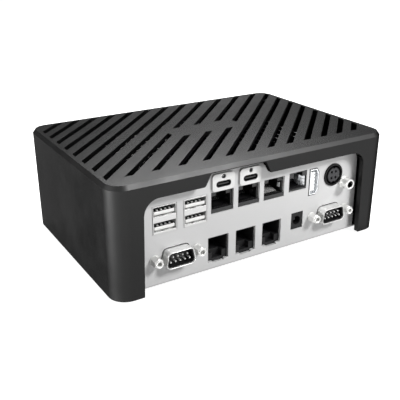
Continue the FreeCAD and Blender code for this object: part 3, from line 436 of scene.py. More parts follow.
copies = add_node(array, "GeometryNodeInstanceOnPoints", Points=points.outputs[0],
                  Instance=unit.outputs["Geometry"])
real = add_node(array, "GeometryNodeRealizeInstances", Geometry=copies.outputs[0])
coated = add_node(array, "GeometryNodeSetMaterial", Geometry=real.outputs[0],
                  Material=given["Finish"])
add_node(array, "NodeGroupOutput", Geometry=coated.outputs[0])


def repeated(name, unit, material, columns, rows, start, column_step, row_step=(0, 0, 0)):
    """The unit in columns and rows, as one plain mesh. Steps and start are in metres."""
    piece = placed(name, bpy.data.meshes.new(name))
    modifier = piece.modifiers.new("array", "NODES")
    modifier.node_group = array
    for label, value in (("Unit", unit), ("Columns", columns), ("Rows", rows),
                         ("Start", Vector(start)), ("Column step", Vector(column_step)),
                         ("Row step", Vector(row_step)), ("Finish", material)):
        modifier[sockets[label]] = value
    applied(piece)
    bpy.data.objects.remove(unit)
    return piece


def four_of(name, unit, material, node):
    """A piece with four of the unit, for a node that holds one in each corner."""
    low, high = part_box(node)
    half = (high.x - low.x) / 2 - max(v.co.x for v in unit.data.vertices)
    deep = (high.y - low.y) / 2 - max(v.co.y for v in unit.data.vertices)
    return dress(repeated(name, unit, material, 2, 2, (-half, -deep, low.z), (2 * half, 0, 0),
                          (0, 2 * deep, 0)), material, node)


zinc_plate = finish("zinc_plated_steel", "#B9BBBF", 0.32, 1.0, grain=0.1, relief=0.003, patch=1.5)
low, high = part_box("base_screws")
length = (high.z - low.z) / MM
screw = turned([(0, 0.9), (1.0, 0.9, 1), (1.0, 0.1, 1), (1.12, 0), (2.7, 0), (2.8, 0.12),
                (1.3, 1.5)] + threaded(1.15, 1.7, length - 0.4, 0.5, 0.14) + [(0.8, length),
                (0, length)])
four_of("base_screws_m3", built("screw", screw), zinc_plate, "base_screws")


# ------------------------------------------------------------------ mounting nuts
# Four M4 clinch nuts of zinc-plated steel, pressed into the base on a 75 mm square for a
# wall or screen mount. Hexagonal, with a chamfered top and a threaded hole.
low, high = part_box("mount_nuts")
tall = (high.z - low.z) / MM
hole = threaded(1.9, 0.25, tall - 0.25, 0.7, 0.25)
nut = turned([(2.1, 0)] + [(3.5, 0, 1), (3.5, tall - 0.4, 1), (3.2, tall), (2.1, tall)]
             + hole[::-1], closed=True)
four_of("clinch_nuts_m4", built("nut", nut), zinc_plate, "mount_nuts")


# ------------------------------------------------------------------ feet
# Four round feet of black moulded rubber, glued to the base. Each has a rolled rim, a
# shallow dish and a fine matt skin whose gloss is a little uneven.
rubber = finish("moulded_rubber", "#141414", 0.75, grain=0.25, relief=0.02, play=0.08, patch=3)
low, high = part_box("feet")
tall = (high.z - low.z) / MM
foot = turned([(0, 0.25), (4.2, 0.25), (4.6, 0.05), (5.0, 0), (6.2, 0), (6.75, 0.12),
               (6.98, 0.4), (6.98, tall), (0, tall)], 48)
four_of("rubber_feet", built("foot", foot), rubber, "feet")


# ------------------------------------------------------------------ standoffs and spacers
# Hexagonal pillars of nickel-plated brass, 5.5 mm across the flats. Four long ones carry
# the lower board on the base, four short spacers the mainboard, and two hold the riser.
nickel = finish("nickel_plated_brass", "#C9C7C2", 0.24, 1.0, grain=0.08, relief=0.002, play=0.04,
                patch=2)
HALF_FLATS = 2.75 * MM


def pillar(low, high, bore=1.55):
    """A hexagonal pillar between two heights in metres, its ends chamfered, with a thread
    right through it."""
    tall, radius = (high - low) / MM, HALF_FLATS / MM
    hole = threaded(bore, 0.3, tall - 0.3, 0.7, 0.2)
    return turned([(bore, 0), (radius * 0.95, 0), (radius, 0.25, 1), (radius, tall - 0.25, 1),
                   (radius * 0.95, tall), (bore, tall)] + hole[::-1], closed=True)


base_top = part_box("mount_nuts")[0].z
io_low, io_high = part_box("io_board")
main_low, main_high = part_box("mainboard")
riser_low, riser_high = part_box("usb_c_board")
spacer_low, spacer_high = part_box("spacers")
RISER_SIDE, RISER_FRONT = 4.6 * MM, 18.9 * MM     # the riser's pillars, in from its edges
post_x = spacer_high.x - HALF_FLATS / math.cos(math.pi / 6)
post_front = spacer_low.y + HALF_FLATS
post_back = spacer_high.y - HALF_FLATS
riser_x = riser_low.x + RISER_SIDE
riser_far = riser_high.x - RISER_SIDE
riser_y = riser_low.y + RISER_FRONT
lower = repeated("lower", built("pillar", pillar(base_top, io_low.z)), nickel, 2, 2,
                 (-post_x, post_front, base_top), (2 * post_x, 0, 0),
                 (0, post_back - post_front, 0))
upper = repeated("upper", built("pillar", pillar(main_high.z, riser_low.z)), nickel, 2, 1,
                 (riser_x, riser_y, main_high.z), (riser_far - riser_x, 0, 0))
dress(joined("brass_standoffs", lower, upper), nickel, "standoffs")
dress(repeated("brass_spacers", built("pillar", pillar(spacer_low.z, spacer_high.z)), nickel,
               2, 2, (-post_x, post_front, spacer_low.z), (2 * post_x, 0, 0),
               (0, post_back - post_front, 0)), nickel, "spacers")


# ------------------------------------------------------------------ boards
# Three boards of glass-epoxy laminate under dark green solder mask: the lower board, the
# mainboard and the riser of the two locking sockets. The mask is satin and shows tracks
# and copper fields as slightly paler shapes, and the cut edges are straw-coloured.
solder_mask = finish("solder_mask_on_laminate", "#123A2A", 0.42, grain=0.4, relief=0.004,
                     play=0.06, patch=5)
tree = solder_mask.node_tree
place = tree.nodes["place"].outputs["Object"]
tracks = add_node(tree, "ShaderNodeTexVoronoi", {"distance": "MANHATTAN",
                  "feature": "F1"}, Vector=place, Scale=1 / (3.2 * MM))
lines = add_node(tree, "ShaderNodeMath", {"operation": "PINGPONG"}, n0=tracks.outputs[0],
                 n1=0.09)
copper = add_node(tree, "ShaderNodeMapRange", n0=lines.outputs[0], n1=0.035, n2=0.05)
shade = add_node(tree, "ShaderNodeMix", {"data_type": "RGBA"}, Factor=copper.outputs[0],
                 n6=tone("#0E2E21"), n7=tone("#1C5239"))
edge = add_node(tree, "ShaderNodeSeparateXYZ",
                Vector=add_node(tree, "ShaderNodeNewGeometry").outputs["Normal"])
flat = add_node(tree, "ShaderNodeMath", {"operation": "ABSOLUTE"}, n0=edge.outputs["Z"])
cut_edge = add_node(tree, "ShaderNodeMath", {"operation": "LESS_THAN"}, n0=flat.outputs[0],
                    n1=0.4)
colour = add_node(tree, "ShaderNodeMix", {"data_type": "RGBA"}, Factor=cut_edge.outputs[0],
                  n6=shade.outputs[2], n7=tone("#8C8150"))
tree.links.new(colour.outputs[2], tree.nodes["Principled BSDF"].inputs["Base Color"])
for name in ("io_board", "mainboard", "usb_c_board"):
    rounded(name + "_laminate", name, solder_mask, 0.08, 1)

# Small ceramic capacitors and chip resistors stand in rows on the boards' free fields.
ceramic = finish("tinned_ceramic_chips", "#6E604C", 0.5, grain=0.1, relief=0.003, patch=1)


def chip(wide, long, high):
    """A chip part: a body with an end cap, a little bigger, at each end."""
    shape = bmesh.new()
    for size, at in (((wide, long * 0.6, high), 0), ((wide + 0.1, long * 0.2, high + 0.1), 0.4),
                     ((wide + 0.1, long * 0.2, high + 0.1), -0.4)):
        made = bmesh.ops.create_cube(shape, size=1.0)
        bmesh.ops.scale(shape, verts=made["verts"], vec=Vector(size) * MM)
        bmesh.ops.translate(shape, verts=made["verts"],
                            vec=Vector((0, long * at, size[2] / 2)) * MM)
    return built("chip", shape)


rows = []
for x, y, level, columns, lines_up in ((-0.066, -0.030, main_high.z, 9, 3),
                                       (0.016, 0.030, main_high.z, 12, 2),
                                       (-0.060, -0.020, io_high.z, 14, 4),
                                       (0.012, 0.004, io_high.z, 12, 3)):
    rows.append(repeated("row", chip(0.8, 1.6, 0.6), ceramic, columns, lines_up, (x, y, level),
                         (2.2 * MM, 0, 0), (0, 3.4 * MM, 0)))
dress(joined("chip_parts", *rows), ceramic)


# ------------------------------------------------------------------ board screws
# Hexagon-head M3 screws, nickel-plated: four long ones through both boards, two for the
# riser and four from below into the heat sink's legs.
def board_screw(length, head=1.9):
    """Head up on z = 0, shank down."""
    return set_in(turned([(0, -head), (2.45, -head), (2.7, 0.35 - head, 1), (2.7, 0, 1),
                          (1.4, 0)] + threaded(1.45, 0.1, length - 0.4, 0.8, 0.15)
                         + [(1.0, length), (0, length)]), turn=DOWN)


screw_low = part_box("board_screws")[0]
long_screws = repeated("long_screws",
                       built("screw", board_screw((main_high.z - screw_low.z) / MM)), nickel,
                       2, 2, (-post_x, post_front, main_high.z), (2 * post_x, 0, 0),
                       (0, post_back - post_front, 0))
riser_screws = repeated("riser_screws", built("screw", board_screw(5.4)), nickel, 2, 1,
                        (riser_x, riser_y, riser_high.z), (riser_far - riser_x, 0, 0))
sink_low, sink_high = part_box("heat_sink")
LEG_IN = 4.0 * MM           # a leg's middle, in from the heat sink's edges
leg = sink_high.x - LEG_IN
leg_front = sink_low.y + LEG_IN
leg_back = main_high.y - 2 * LEG_IN
under = set_in(board_screw(6.4), turn=DOWN)
sink_screws = repeated("sink_screws", built("screw", under), nickel, 2, 2,
                       (-leg, leg_front, main_low.z), (2 * leg, 0, 0),
                       (0, leg_back - leg_front, 0))
dress(joined("hexagon_head_screws", long_screws, riser_screws, sink_screws), nickel,
      "board_screws")


# ------------------------------------------------------------------ processor and heat sink
# A soldered processor with a bare die, a soft grey pad on it and a wide heat sink of
# extruded aluminium, anodised black. Extrusion draws fine lines along it. The sink's
# near-black, dull finish is partly its own anodising and partly painted shade, so the
# roof slots read black.
package = finish("processor_laminate", "#1E3B4A", 0.4, grain=0.15, relief=0.003, patch=3)
silicone = finish("silicone_pad", "#8E9496", 0.7, grain=0.3, relief=0.02, patch=3)
# Partly painted shade: near black and low in gloss, so the fins under the roof slots stay dark.
sink_anodised_and_shade = finish("sink_extrusion_anodised_and_painted_shade", "#0A0A0B", 0.68, grain=0.25, relief=0.012,
                        patch=12, stretch=(1.0, 0.03, 1.0), Specular_IOR_Level=0.12)
rounded("processor_package", "processor", package, 0.1)
rounded("silicone_pad", "thermal_pad", silicone, 0.12)
rounded("extruded_heat_sink", "heat_sink", sink_anodised_and_shade, 0.2)


# ------------------------------------------------------------------ memory and storage
# A memory module and a solid-state drive on green laminate, each in its edge connector of
# black nylon, the drive held by a nickel-plated post. Their moulded chips are dull black
# with a fine ground surface, and their contacts are gilt.
moulded_epoxy = finish("moulded_epoxy", "#1B1B1C", 0.55, grain=0.12, relief=0.006, play=0.06,
                       patch=3)
nylon = finish("glass_filled_nylon", "#121213", 0.48, grain=0.2, relief=0.01, play=0.05, patch=4)
gilt = finish("gold_plated_contacts", "#C9B27A", 0.28, 1.0, grain=0.1, relief=0.002, patch=1)

FINGER_PITCH = 0.5 * MM
for node, thick, columns, lines_up, chip_size, fingers in (
        ("memory_module", 1.0, (0.3, 0.68), (0.17, 0.39, 0.61, 0.83), (8.5, 10.5, 1.0), "x"),
        ("ssd", 0.8, (0.5,), (0.3, 0.68), (15.6, 12.0, 1.2), "y")):
    low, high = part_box(node)
    wide, long = high.x - low.x, high.y - low.y
    card = eased(built("card", block(low, (high.x, high.y, low.z + thick * MM))), 0.06, 1)
    dress(card, solder_mask, node).name = node + "_card"
    size = Vector(chip_size) * MM
    unit = eased(built("chip", block((-size.x / 2, -size.y / 2, 0),
                                     (size.x / 2, size.y / 2, size.z))), 0.15)
    step_x = wide * (columns[-1] - columns[0])
    step_y = long * (lines_up[1] - lines_up[0])
    chips = repeated(node + "_chips", unit, moulded_epoxy, len(columns), len(lines_up),
                     (low.x + wide * columns[0], low.y + long * lines_up[0],
                      low.z + thick * MM), (step_x, 0, 0), (0, step_y, 0))
    dress(chips, moulded_epoxy, node)
    if fingers == "x":
        unit = built("finger", block((-1.9 * MM, -0.17 * MM, 0), (0, 0.17 * MM, 0.03 * MM)))
        row = repeated(node + "_fingers", unit, gilt, 1, 120,
                       (high.x, low.y + 4 * MM, low.z + thick * MM), (0, 0, 0),
                       (0, FINGER_PITCH, 0))
    else:
        unit = built("finger", block((-0.17 * MM, 0, 0), (0.17 * MM, 1.9 * MM, 0.03 * MM)))
        row = repeated(node + "_fingers", unit, gilt, 38, 1,
                       (low.x + 1.6 * MM, low.y, low.z + thick * MM), (FINGER_PITCH, 0, 0))
    dress(row, gilt, node)
for node in ("memory_socket", "ssd_socket"):
    rounded(node + "_nylon", node, nylon, 0.12)
low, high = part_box("ssd_post")
tall = (high.z - low.z) / MM
post = turned([(1.1, 0), (1.95, 0, 1), (1.95, tall, 1), (1.1, tall)], closed=True)
dress(built("ssd_post_brass", set_in(post, (*middle_of("ssd_post").xy, low.z))), nickel,
      "ssd_post")


# ------------------------------------------------------------------ clock cell
# A lithium cell of stainless steel in a black nylon holder. The can's rim is rolled over
# its seal, and its face is brushed in one direction.
stainless = finish("brushed_stainless", "#C4C5C6", 0.3, 1.0, grain=0.12, relief=0.004, patch=6,
                   stretch=(0.05, 1.0, 1.0))
rounded("cell_holder_nylon", "cell_holder", nylon, 0.15)
low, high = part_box("coin_cell")
tall = (high.z - low.z) / MM
cell = turned([(0, 0), (8.2, 0), (8.8, 0.3), (9.4, 0.35), (9.9, 0.7), (9.95, tall - 0.25),
               (9.7, tall), (0, tall)], 64)
dress(built("lithium_cell", set_in(cell, (*middle_of("coin_cell").xy, low.z))), stainless,
      "coin_cell")


# ------------------------------------------------------------------ chokes and capacitors
# Three moulded power chokes with tinned end clips, and three solid capacitors in bare
# aluminium cans with a crimped groove, all on the underside of the lower board. A black
# nylon connector joins its top to the mainboard.
ferrite = finish("moulded_ferrite", "#2B2C2E", 0.6, grain=0.18, relief=0.02, play=0.06, patch=3)
tinned = finish("tinned_steel", "#D6D6D4", 0.3, 1.0, grain=0.12, relief=0.003, patch=3)
bare_can = finish("drawn_aluminium_can", "#77787B", 0.42, 1.0, grain=0.1, relief=0.003, patch=3,
                  stretch=(1.0, 1.0, 0.1))
rounded("ferrite_chokes", "chokes", ferrite, 0.9, 3)
low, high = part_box("chokes")
side = high.x - low.x
clip = built("clip", block((-2 * MM, 0, -0.15 * MM), (2 * MM, side + 0.1 * MM, 0.15 * MM)))
clips = repeated("choke_clips", clip, tinned, 1, 3,
                 (middle_of("chokes").x, low.y - 0.05 * MM, high.z - 0.2 * MM), (0, 0, 0),
                 (0, (high.y - low.y - side) / 2, 0))
dress(clips, tinned, "chokes")
low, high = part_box("capacitors")
tall = (high.z - low.z) / MM
can = turned([(0, 0.25), (3.2, 0.2), (4.6, 0), (4.95, 0.35), (4.95, tall - 3.2),
              (4.55, tall - 2.9), (4.55, tall - 2.5), (4.95, tall - 2.2),
              (4.95, tall - 1.0), (4.7, tall - 0.9), (4.7, tall), (0, tall)], 40)
CAN_HALF = 5.0 * MM
dress(repeated("aluminium_cans", built("can", can), bare_can, 3, 1,
               (low.x + CAN_HALF, middle_of("capacitors").y, low.z),
               ((high.x - low.x) / 2 - CAN_HALF, 0, 0)), bare_can, "capacitors")
rounded("board_connector_nylon", "board_connector", nylon, 0.2)


# ------------------------------------------------------------------ double USB sockets
# Two stacked pairs of USB sockets. Each shell is folded from tin-plated steel, pale and
# satin, with two slots in every floor. A white tongue stands low in each port, with four
# sprung contacts on top of it. A black block at the back of each port and a black layer on
# the tongue's top are painted shade for the depth of the port.
satin_tin = finish("satin_tin_plate", "#C9C9C8", 0.36, 0.45, grain=0.12, relief=0.003, play=0.05,
                   patch=3)
black_lcp = finish("moulded_black_lcp", "#0C0C0D", 0.42, grain=0.15, relief=0.006, play=0.05,
                   patch=3)
white_lcp = finish("moulded_white_lcp", "#E2E2E0", 0.45, grain=0.15, relief=0.004, play=0.05,
                   patch=3)
nickel_pins = finish("nickel_flashed_contacts", "#D2D2D1", 0.28, 0.7, grain=0.06, relief=0.001,
                     patch=1)


def ribbon(path, wide, thick):
    """A flat wire of even width in X that follows a path of (y, z) in mm."""
    shape = bmesh.new()
    rings = []
    for index, (y, z) in enumerate(path):
        before = path[max(index - 1, 0)]
        after = path[min(index + 1, len(path) - 1)]
        run = Vector((after[0] - before[0], after[1] - before[1])).normalized()
        side = Vector((-run.y, run.x)) * thick / 2
        rings.append([shape.verts.new(Vector((x, y + sign * side.x, z + sign * side.y)) * MM)
                      for x, sign in ((-wide / 2, -1), (wide / 2, -1), (wide / 2, 1),
                                      (-wide / 2, 1))])
    for first, second in zip(rings, rings[1:]):
        for index in range(4):
            after = (index + 1) % 4
            shape.faces.new((first[index], first[after], second[after], second[index]))
    shape.faces.new(rings[0][::-1])
    shape.faces.new(rings[-1])
    bmesh.ops.recalc_face_normals(shape, faces=shape.faces)
    return shape


PORT_HIGH, PORT_DEEP = 5.1 * MM, 9.4 * MM
PORT_FIRST, PORT_STEP = 1.2 * MM, 8.3 * MM      # floors: the first one's height, and the step
TONGUE_GAP, TONGUE_THICK = 0.85 * MM, 1.75 * MM
STRIP_FIRST, STRIP_PITCH = 3.5 * MM, 2.333 * MM
for side in ("left", "right"):
    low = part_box("usb_shell_" + side)[0]
    x = middle_of("usb_shell_" + side).x
    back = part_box("usb_insert_" + side)[1].y
    slots, usb_shade_blocks, tongues, contacts = [], [], [], []
    for level in (0, 1):
        floor_z = low.z + PORT_FIRST + level * PORT_STEP
        under = floor_z + TONGUE_GAP
        over = under + TONGUE_THICK
        for at in (-3.1, 3.1):
            slots.append(built("slot", block(
                (x + (at - 2.5) * MM, low.y + 0.7 * MM, floor_z - 0.7 * MM),
                (x + (at + 2.5) * MM, low.y + 2.0 * MM, floor_z + 0.1 * MM))))
        # Painted shade: a black block at the port's back and a black layer on the tongue's top,
        # where the port lies in shade.
        usb_shade_blocks.append(built("back", block(
            (x - 6.2 * MM, low.y + PORT_DEEP, floor_z + 0.02 * MM),
            (x + 6.2 * MM, back, floor_z + PORT_HIGH - 0.02 * MM))))
        usb_shade_blocks.append(built("carrier", block(
            (x - 5.4 * MM, low.y + 0.8 * MM, over - 0.1 * MM),
            (x + 5.3 * MM, low.y + PORT_DEEP + 0.2 * MM, over + 0.12 * MM))))
        tongues.append(eased(built("tongue", block(
            (x - 5.7 * MM, low.y + 0.4 * MM, under),
            (x + 5.7 * MM, low.y + PORT_DEEP, over))), 0.2))
        strip = built("strip", ribbon([(0.6, 0.12), (0.9, 0.3), (1.5, 0.6), (2.1, 0.6),
                                       (2.8, 0.3), (7.2, 0.16)], 1.0, 0.16))
        contacts.append(repeated("strips", strip, nickel_pins, 4, 1,
                                 (x - STRIP_FIRST, low.y + 0.6 * MM, over),
                                 (STRIP_PITCH, 0, 0)))
    shell = cut_out(built("usb_shell_tin_" + side, cad_copy("usb_shell_" + side)), *slots)
    dress(eased(shell, 0.09), satin_tin, "usb_shell_" + side)
    # Painted shade: the black blocks at the ports' backs and on the tongues.
    dress(joined("usb_moulding_" + side, *usb_shade_blocks), black_lcp, "usb_insert_" + side)
    dress(joined("usb_tongues_" + side, *tongues), white_lcp)
    dress(joined("usb_contacts_" + side, *contacts), nickel_pins)


# ------------------------------------------------------------------ locking sockets
# Two USB-C sockets behind raised, rounded tabs with a threaded hole for the plug's lock.
# The tabs are zinc-plated, and the seamless shells are stainless steel given a dark grey as
# painted shade, like the threaded insert in each lock hole. A thin black tongue inside
# carries twelve fine gilt contacts on each face.
tab_zinc = finish("zinc_plated_tab", "#CCCCCB", 0.42, 0.35, grain=0.2, relief=0.004, play=0.05,
                  patch=5)
# Painted shade: a dark grey steel for metal that sits in shade in slots and holes.
shade_grey_steel = finish("drawn_stainless_painted_shade", "#3E3E40", 0.34, 1.0, grain=0.1, relief=0.002, play=0.04,
                    patch=2)
LOCK_DOWN = 1.7 * MM        # the lock hole's middle, below the tab's top
for side in ("left", "right"):
    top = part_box("usb_c_tab_" + side)[1].z
    lock = (middle_of("usb_c_tab_" + side).x, PLATE_FACE, top - LOCK_DOWN)
    hole = built("hole", set_in(turned([(0, -1), (1.3, -1), (1.3, 3), (0, 3)]), lock, FORWARD))
    tab = cut_out(built("locking_tab_" + side, cad_copy("usb_c_tab_" + side)), hole)
    dress(eased(tab, 0.38, 3), tab_zinc, "usb_c_tab_" + side)
    insert = turned([(1.27, 0.1), (1.27, 0.5), (0.85, 0.45)]
                    + threaded(0.95, 0, 0.3, 0.15, 0.1)[::-1] + [(0.85, -0.1), (1.27, -0.1)],
                    closed=True)
    dress(built("lock_thread_" + side, set_in(insert, lock, FORWARD)), shade_grey_steel)
    rounded("usb_c_shell_drawn_" + side, "usb_c_shell_" + side, shade_grey_steel, 0.08)
    rounded("usb_c_tongue_" + side, "usb_c_insert_" + side, black_lcp, 0.12)
    x, _, z = middle_of("usb_c_insert_" + side)
    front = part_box("usb_c_insert_" + side)[0].y
    strip = built("strip", block((-0.13 * MM, 0, 0), (0.13 * MM, 3.2 * MM, 0.03 * MM)))
    dress(repeated("usb_c_fingers_" + side, strip, gilt, 12, 2,
                   (x - 5.5 * FINGER_PITCH, front + 1.4 * MM, z + 0.35 * MM),
                   (FINGER_PITCH, 0, 0), (0, 0, -0.73 * MM)), gilt)


# ------------------------------------------------------------------ network jacks
# Four eight-pole jacks moulded in black polyester, with the latch above. Eight sprung wires
# lie in a comb on each floor. A steel spring stands at the right wall of three of them: the
# first two are given dark steel as painted shade, and the third bright tin as a painted
# highlight. Bright sheet leaves bulge from both walls of the last.
black_pbt = finish("moulded_black_polyester", "#0E0E0F", 0.4, grain=0.22, relief=0.012, play=0.06,
                   patch=4)
bright_tin = finish("bright_tin_plate", "#F2F4F6", 0.24, 0.6, grain=0.1, relief=0.002, play=0.04,
                    patch=2)


def wall_leaf(path, tall, spot, sign):
    """A sheet leaf on a side wall, bulging inwards along a path of (y, inwards) in mm."""
    shape = ribbon(path, tall, 0.2)
    shape.transform(Matrix.Rotation(-sign * math.pi / 2, 4, "Y"))
    return set_in(shape, spot)


WIRE_PITCH = 1.02 * MM
PLUG_HALF, PLUG_FLOOR = 5.9 * MM, 5.7 * MM
combs, wires, springs = [], [], []
for number in (1, 2, 3, 4):
    node = f"lan_body_{number}"
    rounded(f"network_jack_{number}", node, black_pbt, 0.14)
    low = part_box(node)[0]
    x, floor_z = middle_of(node).x, low.z + PLUG_FLOOR
    rib = eased(built("rib", block((-0.24 * MM, 0, 0), (0.24 * MM, 2.2 * MM, 0.55 * MM))),
                0.08, 1)
    combs.append(repeated("comb", rib, black_pbt, 9, 1,
                          (x - 4 * WIRE_PITCH, low.y + 1.2 * MM, floor_z - 0.02 * MM),
                          (WIRE_PITCH, 0, 0)))
    path, wide = [(9.2, 0.9), (9.4, 1.2), (10.8, 1.8), (11.4, 1.7)], 0.36
    if number == 3:
        path, wide = [(3.5, 0.15), (3.7, 0.35), (11.0, 2.6), (11.4, 2.5)], 0.74
    wires.append(repeated("wires", built("wire", ribbon(path, wide, 0.24)), nickel_pins, 8, 1,
                          (x - 3.5 * WIRE_PITCH, low.y - 0.3 * MM, floor_z),
                          (WIRE_PITCH, 0, 0)))
    if number < 4:
        tall, deep, rise = (2.6, 2.4, 3.9) if number == 3 else (1.3, 4.4, 3.2)
        bulge = [(deep, 0.0), (deep + 0.7, 0.5), (deep + 1.5, 0.6), (deep + 2.4, 0.0)]
        spot = (x + PLUG_HALF - 0.12 * MM, low.y, floor_z + rise * MM)
        springs.append(built("spring", wall_leaf(bulge, tall, spot, 1)))
dress(joined("jack_combs", *combs), black_pbt)
dress(joined("jack_wires", *wires), nickel_pins, "lan_contacts")
# One spring in two colours: bright tin as a painted highlight in the third jack, dark steel as
# painted shade in the first two.
dress(joined("jack_springs", springs.pop()), bright_tin)      # the third jack's, in the light
dress(joined("jack_side_springs", *springs), shade_grey_steel)
low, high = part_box("lan_shield")
tall = (high.z - low.z) / MM
leaves = []
for wall, sign in ((high.x - 0.14 * MM, 1), (low.x + 0.14 * MM, -1)):
    for level in (0, 1, 2):
        leaf = wall_leaf([(0.2, 0.0), (1.9, 1.3), (3.2, 1.9), (8.4, 0.9)], tall / 3 - 0.22,
                         (wall, low.y, low.z + (level + 0.5) * tall / 3 * MM), sign)
        leaves.append(built("leaf", leaf))
dress(joined("shield_leaves", *leaves), bright_tin, "lan_shield")


# ------------------------------------------------------------------ video socket
# A display socket set on its side. Its shell is bright tin-plated steel, and an ivory
# tongue in the middle holds ten contacts on each face, over a notched ivory moulding.
ivory = finish("moulded_ivory_lcp", "#F0F1F2", 0.45, grain=0.15, relief=0.005, play=0.05, patch=3)
rounded("video_tongue", "video_insert", ivory, 0.12)
rounded("video_shell_tin", "video_shell", bright_tin, 0.1)
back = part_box("video_insert")[0].y
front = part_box("video_shell")[0].y + 0.7 * MM
x, _, z = middle_of("video_shell")
moulding = built("video_moulding", block((x - 2.3 * MM, front, z - 5.6 * MM),
                                         (x + 0.9 * MM, back + 6 * MM, z + 5.6 * MM)))
NOTCH_STEP = 2.1 * MM
notches = []
for number in range(5):
    edge = x + (-0.4 if number % 2 else 0.1) * MM
    notches.append(built("notch", block(
        (edge, front - MM, z + (number - 2.2) * NOTCH_STEP),
        (x + 1.2 * MM, front + 3 * MM, z + (number - 1.85) * NOTCH_STEP))))
dress(eased(cut_out(moulding, *notches), 0.12), ivory)
strip = built("strip", block((0, 0, -0.25 * MM), (0.06 * MM, 5.6 * MM, 0.25 * MM)))
VIDEO_PITCH, FACES_APART = 1.0 * MM, 1.06 * MM
dress(repeated("video_contacts", strip, nickel_pins, 10, 2,
               (x - 0.56 * MM, back + 0.5 * MM, z - 4.5 * VIDEO_PITCH), (0, 0, VIDEO_PITCH),
               (FACES_APART, 0, 0)), nickel_pins)


# ------------------------------------------------------------------ power and audio sockets
# A round four-pole power socket: a black ring, a deep gap and a dark grey core with square
# holes and two key notches. Beside it the audio socket's turned brass bush, satin nickel,
# with a flange on the plate, a rounded mouth and a black sleeve.
two_shot = finish("moulded_power_socket", "#0D0D0E", 0.38, grain=0.2, relief=0.008, play=0.05,
                  patch=4, Specular_IOR_Level=0.12)
tree = two_shot.node_tree
place = tree.nodes["place"].outputs["Object"]
low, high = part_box("power_body")
ring_x = middle_of("power_body").x
ring_z = high.z - (high.x - low.x) / 2
CORE = 4.15 * MM            # the grey core's radius
axis = add_node(tree, "ShaderNodeVectorMath", {"operation": "SUBTRACT"}, n0=place,
                n1=(ring_x, 0.0, ring_z))
flat = add_node(tree, "ShaderNodeVectorMath", {"operation": "MULTIPLY"}, n0=axis.outputs[0],
                n1=(1.0, 0.0, 1.0))
away = add_node(tree, "ShaderNodeVectorMath", {"operation": "LENGTH"}, n0=flat.outputs[0])
core = add_node(tree, "ShaderNodeMath", {"operation": "LESS_THAN"}, n0=away.outputs["Value"],
                n1=CORE)
paint = add_node(tree, "ShaderNodeMix", {"data_type": "RGBA"}, Factor=core.outputs[0],
                 n6=tone("#070708"), n7=tone("#3E3E40"))
tree.links.new(paint.outputs[2], tree.nodes["Principled BSDF"].inputs["Base Color"])
rounded("power_socket", "power_body", two_shot, 0.2)
rounded("power_sleeves", "power_contacts", nickel_pins, 0.08, 1)

satin_nickel = finish("satin_nickel_on_brass", "#D3D3D1", 0.34, 0.55, grain=0.1, relief=0.003,
                      play=0.05, patch=2)
low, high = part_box("audio_bush")
x, _, z = middle_of("audio_bush")
deep = (high.y - low.y) / MM
bush = turned([(2.1, 0), (3.1, 0), (3.1, 1.5), (3.6, 1.5), (3.6, 2.45), (3.45, 2.6),
               (3.05, 2.75), (2.95, 3.0), (2.95, deep - 1.7), (3.1, deep - 1.5),
               (3.1, deep - 0.5), (3.0, deep - 0.2), (2.8, deep), (2.3, deep),
               (2.1, deep - 0.2)], 48, closed=True)
dress(built("audio_bush_turned", set_in(bush, (x, high.y, z), FORWARD)), satin_nickel,
      "audio_bush")
sleeve = turned([(0, 1.8), (2.08, 1.8), (2.08, deep - 0.25), (1.8, deep - 0.3), (1.8, 2.0),
                 (0, 2.0)], 48)
dress(built("audio_sleeve", set_in(sleeve, (x, high.y, z), FORWARD)), black_lcp)
rounded("audio_block", "audio_body", black_pbt, 0.2)


# ------------------------------------------------------------------ serial sockets
# Two nine-pole plugs. The D-shaped shells are drawn from steel and tin-plated, with three
# small dimples on top, over black insulators. A black liner over each shell's inner wall is
# painted shade. Nine round-nosed pins stand in two rows.
PIN_PITCH, ROW_UP, DIMPLE_STEP = 2.77 * MM, 1.42 * MM, 4.6 * MM
pins = []
for side in ("left", "right"):
    shell = eased(built("shell", cad_copy("com_shell_" + side)), 0.2)
    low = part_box("com_shell_" + side)[0]
    x, _, z = middle_of("com_shell_" + side)
    dimple = built("dimple", turned([(0, 0.16), (0.3, 0.13), (0.55, 0.04), (0.7, -0.2),
                                     (0, -0.2)], 16))
    dimples = repeated("dimples", dimple, satin_tin, 3, 1,
                       (x - DIMPLE_STEP, low.y + 2.6 * MM, z + 4.62 * MM),
                       (DIMPLE_STEP, 0, 0))
    dress(joined("serial_shell_" + side, shell, dimples), satin_tin, "com_shell_" + side)
    rounded("serial_insulator_" + side, "com_insert_" + side, black_lcp, 0.1)
    # Painted shade: a black lining over the shell's inner wall, which lies in shade.
    shade_liner = tube_end("com_shell_" + side, *SERIAL, -0.47, low.y + 5.5 * MM)
    for vertex in shade_liner.verts:
        if vertex.co.y < low.y + 2 * MM:
            vertex.co.y += 0.75 * MM
    dress(built("serial_liner_" + side, shade_liner), black_lcp)
    tip = low.y + 1.2 * MM
    for count, level in ((5, -ROW_UP), (4, ROW_UP)):
        pin = built("pin", set_in(turned([(0, 0), (0.51, 0), (0.51, 3.9), (0.44, 4.2),
                                          (0.28, 4.36), (0, 4.4)], 16),
                                  (0, 4.4 * MM, 0), FORWARD))
        pins.append(repeated("row", pin, nickel_pins, count, 1,
                             (x - (count - 1) / 2 * PIN_PITCH, tip, z + level),
                             (PIN_PITCH, 0, 0)))
dress(joined("serial_pins", *pins), nickel_pins, "com_pins")


